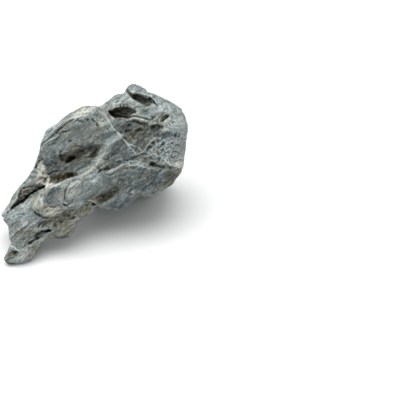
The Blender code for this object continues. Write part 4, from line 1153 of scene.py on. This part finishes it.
def limestone():
    """Blue-grey limestone: streaked along its bedding, paler on top from dust and painted top light,
    with cream crust, white veins, brown and painted shade in its hollows, painted highlights on crests."""
    shader = Shader("seiryu_limestone")
    bed = shader.attribute("bedding", "Vector")
    along = shader.stretch(bed, (0.28, 1.25, 0.6))
    streaks = shader.noise(along, scale=2.4, detail=4.0, rough=0.6, bend=0.5)
    fine = shader.noise(along, scale=8.0, detail=3.0, rough=0.7)
    mottle = shader.noise(bed, scale=0.8, detail=3.0, rough=0.6)
    grains = shader.noise(bed, scale=7.0, detail=3.0, rough=0.75)
    dust = shader.noise(bed, scale=18.0, detail=2.0, rough=0.7)
    glints = shader.step(shader.noise(bed, scale=11.0, detail=2.0, rough=0.6), 0.56, 0.66)
    spots = shader.noise(shader.stretch(bed, (0.55, 1.0, 0.8)), scale=8.5, detail=2.0, rough=0.6)
    freckles = shader.step(spots, 0.56, 0.66)
    speckle = shader.sum(
        (fine, 1.04), (grains, 0.74), (dust, 0.7), (glints, 0.18), (freckles, -0.22), (1.0, -1.22),
    )
    loud = shader.sum((shader.attribute("quiet"), -0.6), (1.0, 1.0))
    sparkle = shader.product(shader.attribute("sugar"), shader.step(grains, 0.48, 0.62))
    hollow_fine = shader.attribute("hollow_fine")
    # Painted shade and light: the shade and pale channels, darker fine and wide hollows, lighter fine crests
    tone = shader.sum(
        (shader.product(speckle, loud), 1.0), (streaks, 0.74), (mottle, 0.26), (1.0, -0.008),
        (shader.attribute("pale"), 0.25), (shader.attribute("shade"), -0.42),
        (shader.attribute("slate"), -0.10), (shader.step(hollow_fine, 0.05, -0.45), 0.2),
        (shader.step(hollow_fine, 0.05, 0.6), -0.22), (sparkle, 0.56),
        (shader.step(shader.attribute("hollow_wide"), 0.5, 3.0), -0.14),
    )
    patches = shader.noise(shader.stretch(bed, (0.5, 1.3, 0.9)), scale=0.95, detail=3.0, rough=0.6)
    warm = shader.step(patches, 0.45, 0.66, top=0.6)
    colour = shader.mix(warm, shader.ramp(tone, STONE), shader.ramp(tone, WARM))
    for channel, stops in SPREADS:
        colour = shader.mix(shader.attribute(channel), colour, shader.ramp(tone, stops))
    crust = shader.product(shader.attribute("crust"), shader.step(grains, 0.26, 0.44))
    colour = shader.mix(crust, colour, shader.ramp(shader.sum((tone, 1.0), (crust, 0.12)), CREAM))
    unbroken = shader.step(shader.step(dust, 0.38, 0.52), -0.6, 1.0)
    colour = shader.mix(shader.product(shader.attribute("vein"), unbroken), colour, CALCITE)
    height = shader.sum((fine, 1.0), (grains, 0.8), (dust, 0.5))
    bump = shader.node("Bump", {"Strength": 1.0, "Distance": GRAIN_BUMP, "Height": height}, 0)
    shader.feed(shader.surface.inputs["Normal"], bump)
    return shader.finish(colour, shader.step(fine, 0.0, 0.8, top=0.95), STONE_SPECULAR)


# The room: lengths in metres

FLOOR_REACH = 4.0
SKY = (0.97, 0.985, 1.0, 1.0)
SKY_STRENGTH = 0.7
LAMP_SIZE = 2.0
LAMP_POWER = 24
LAMP_SPOT = (-0.15, -0.1, 1.5)
LAMP_TARGET = (0, 0, 0.06)


def lay_floor():
    mesh = bpy.data.meshes.new("floor")
    low, high = -FLOOR_REACH, FLOOR_REACH
    mesh.from_pydata([(low, low, 0), (high, low, 0), (high, high, 0), (low, high, 0)], [], [(0, 1, 2, 3)])
    mesh.materials.append(Shader("pale_floor").finish(FLOOR_COLOUR, FLOOR_ROUGHNESS, FLOOR_SPECULAR))
    add("floor", mesh)


def aim(obj, place, target):
    obj.location = place
    obj.rotation_mode = "QUATERNION"
    obj.rotation_quaternion = (Vector(target) - Vector(place)).to_track_quat("-Z", "Y")


def light_room():
    world = bpy.data.worlds.new("studio")
    world.use_nodes = True
    background = world.node_tree.nodes["Background"]
    background.inputs["Color"].default_value = SKY
    background.inputs["Strength"].default_value = SKY_STRENGTH
    bpy.context.scene.world = world
    lamp = bpy.data.lights.new("softbox", "AREA")
    lamp.shape = "DISK"
    lamp.size = LAMP_SIZE
    lamp.energy = LAMP_POWER
    aim(add("softbox", lamp), LAMP_SPOT, LAMP_TARGET)


def set_camera():
    data = bpy.data.cameras.new("camera")
    data.lens = LENS
    data.sensor_width = SENSOR
    camera = add("camera", data)
    eye = to_world(EYE[None])[0]
    aim(camera, eye, eye + W_AXIS)
    bpy.context.scene.camera = camera


stone = grow_stone()
stone.data.materials.append(limestone())
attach(stone, "root")
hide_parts("seiryu_stone")
lay_floor()
light_room()
set_camera()
bpy.context.scene.view_settings.view_transform = "Standard"
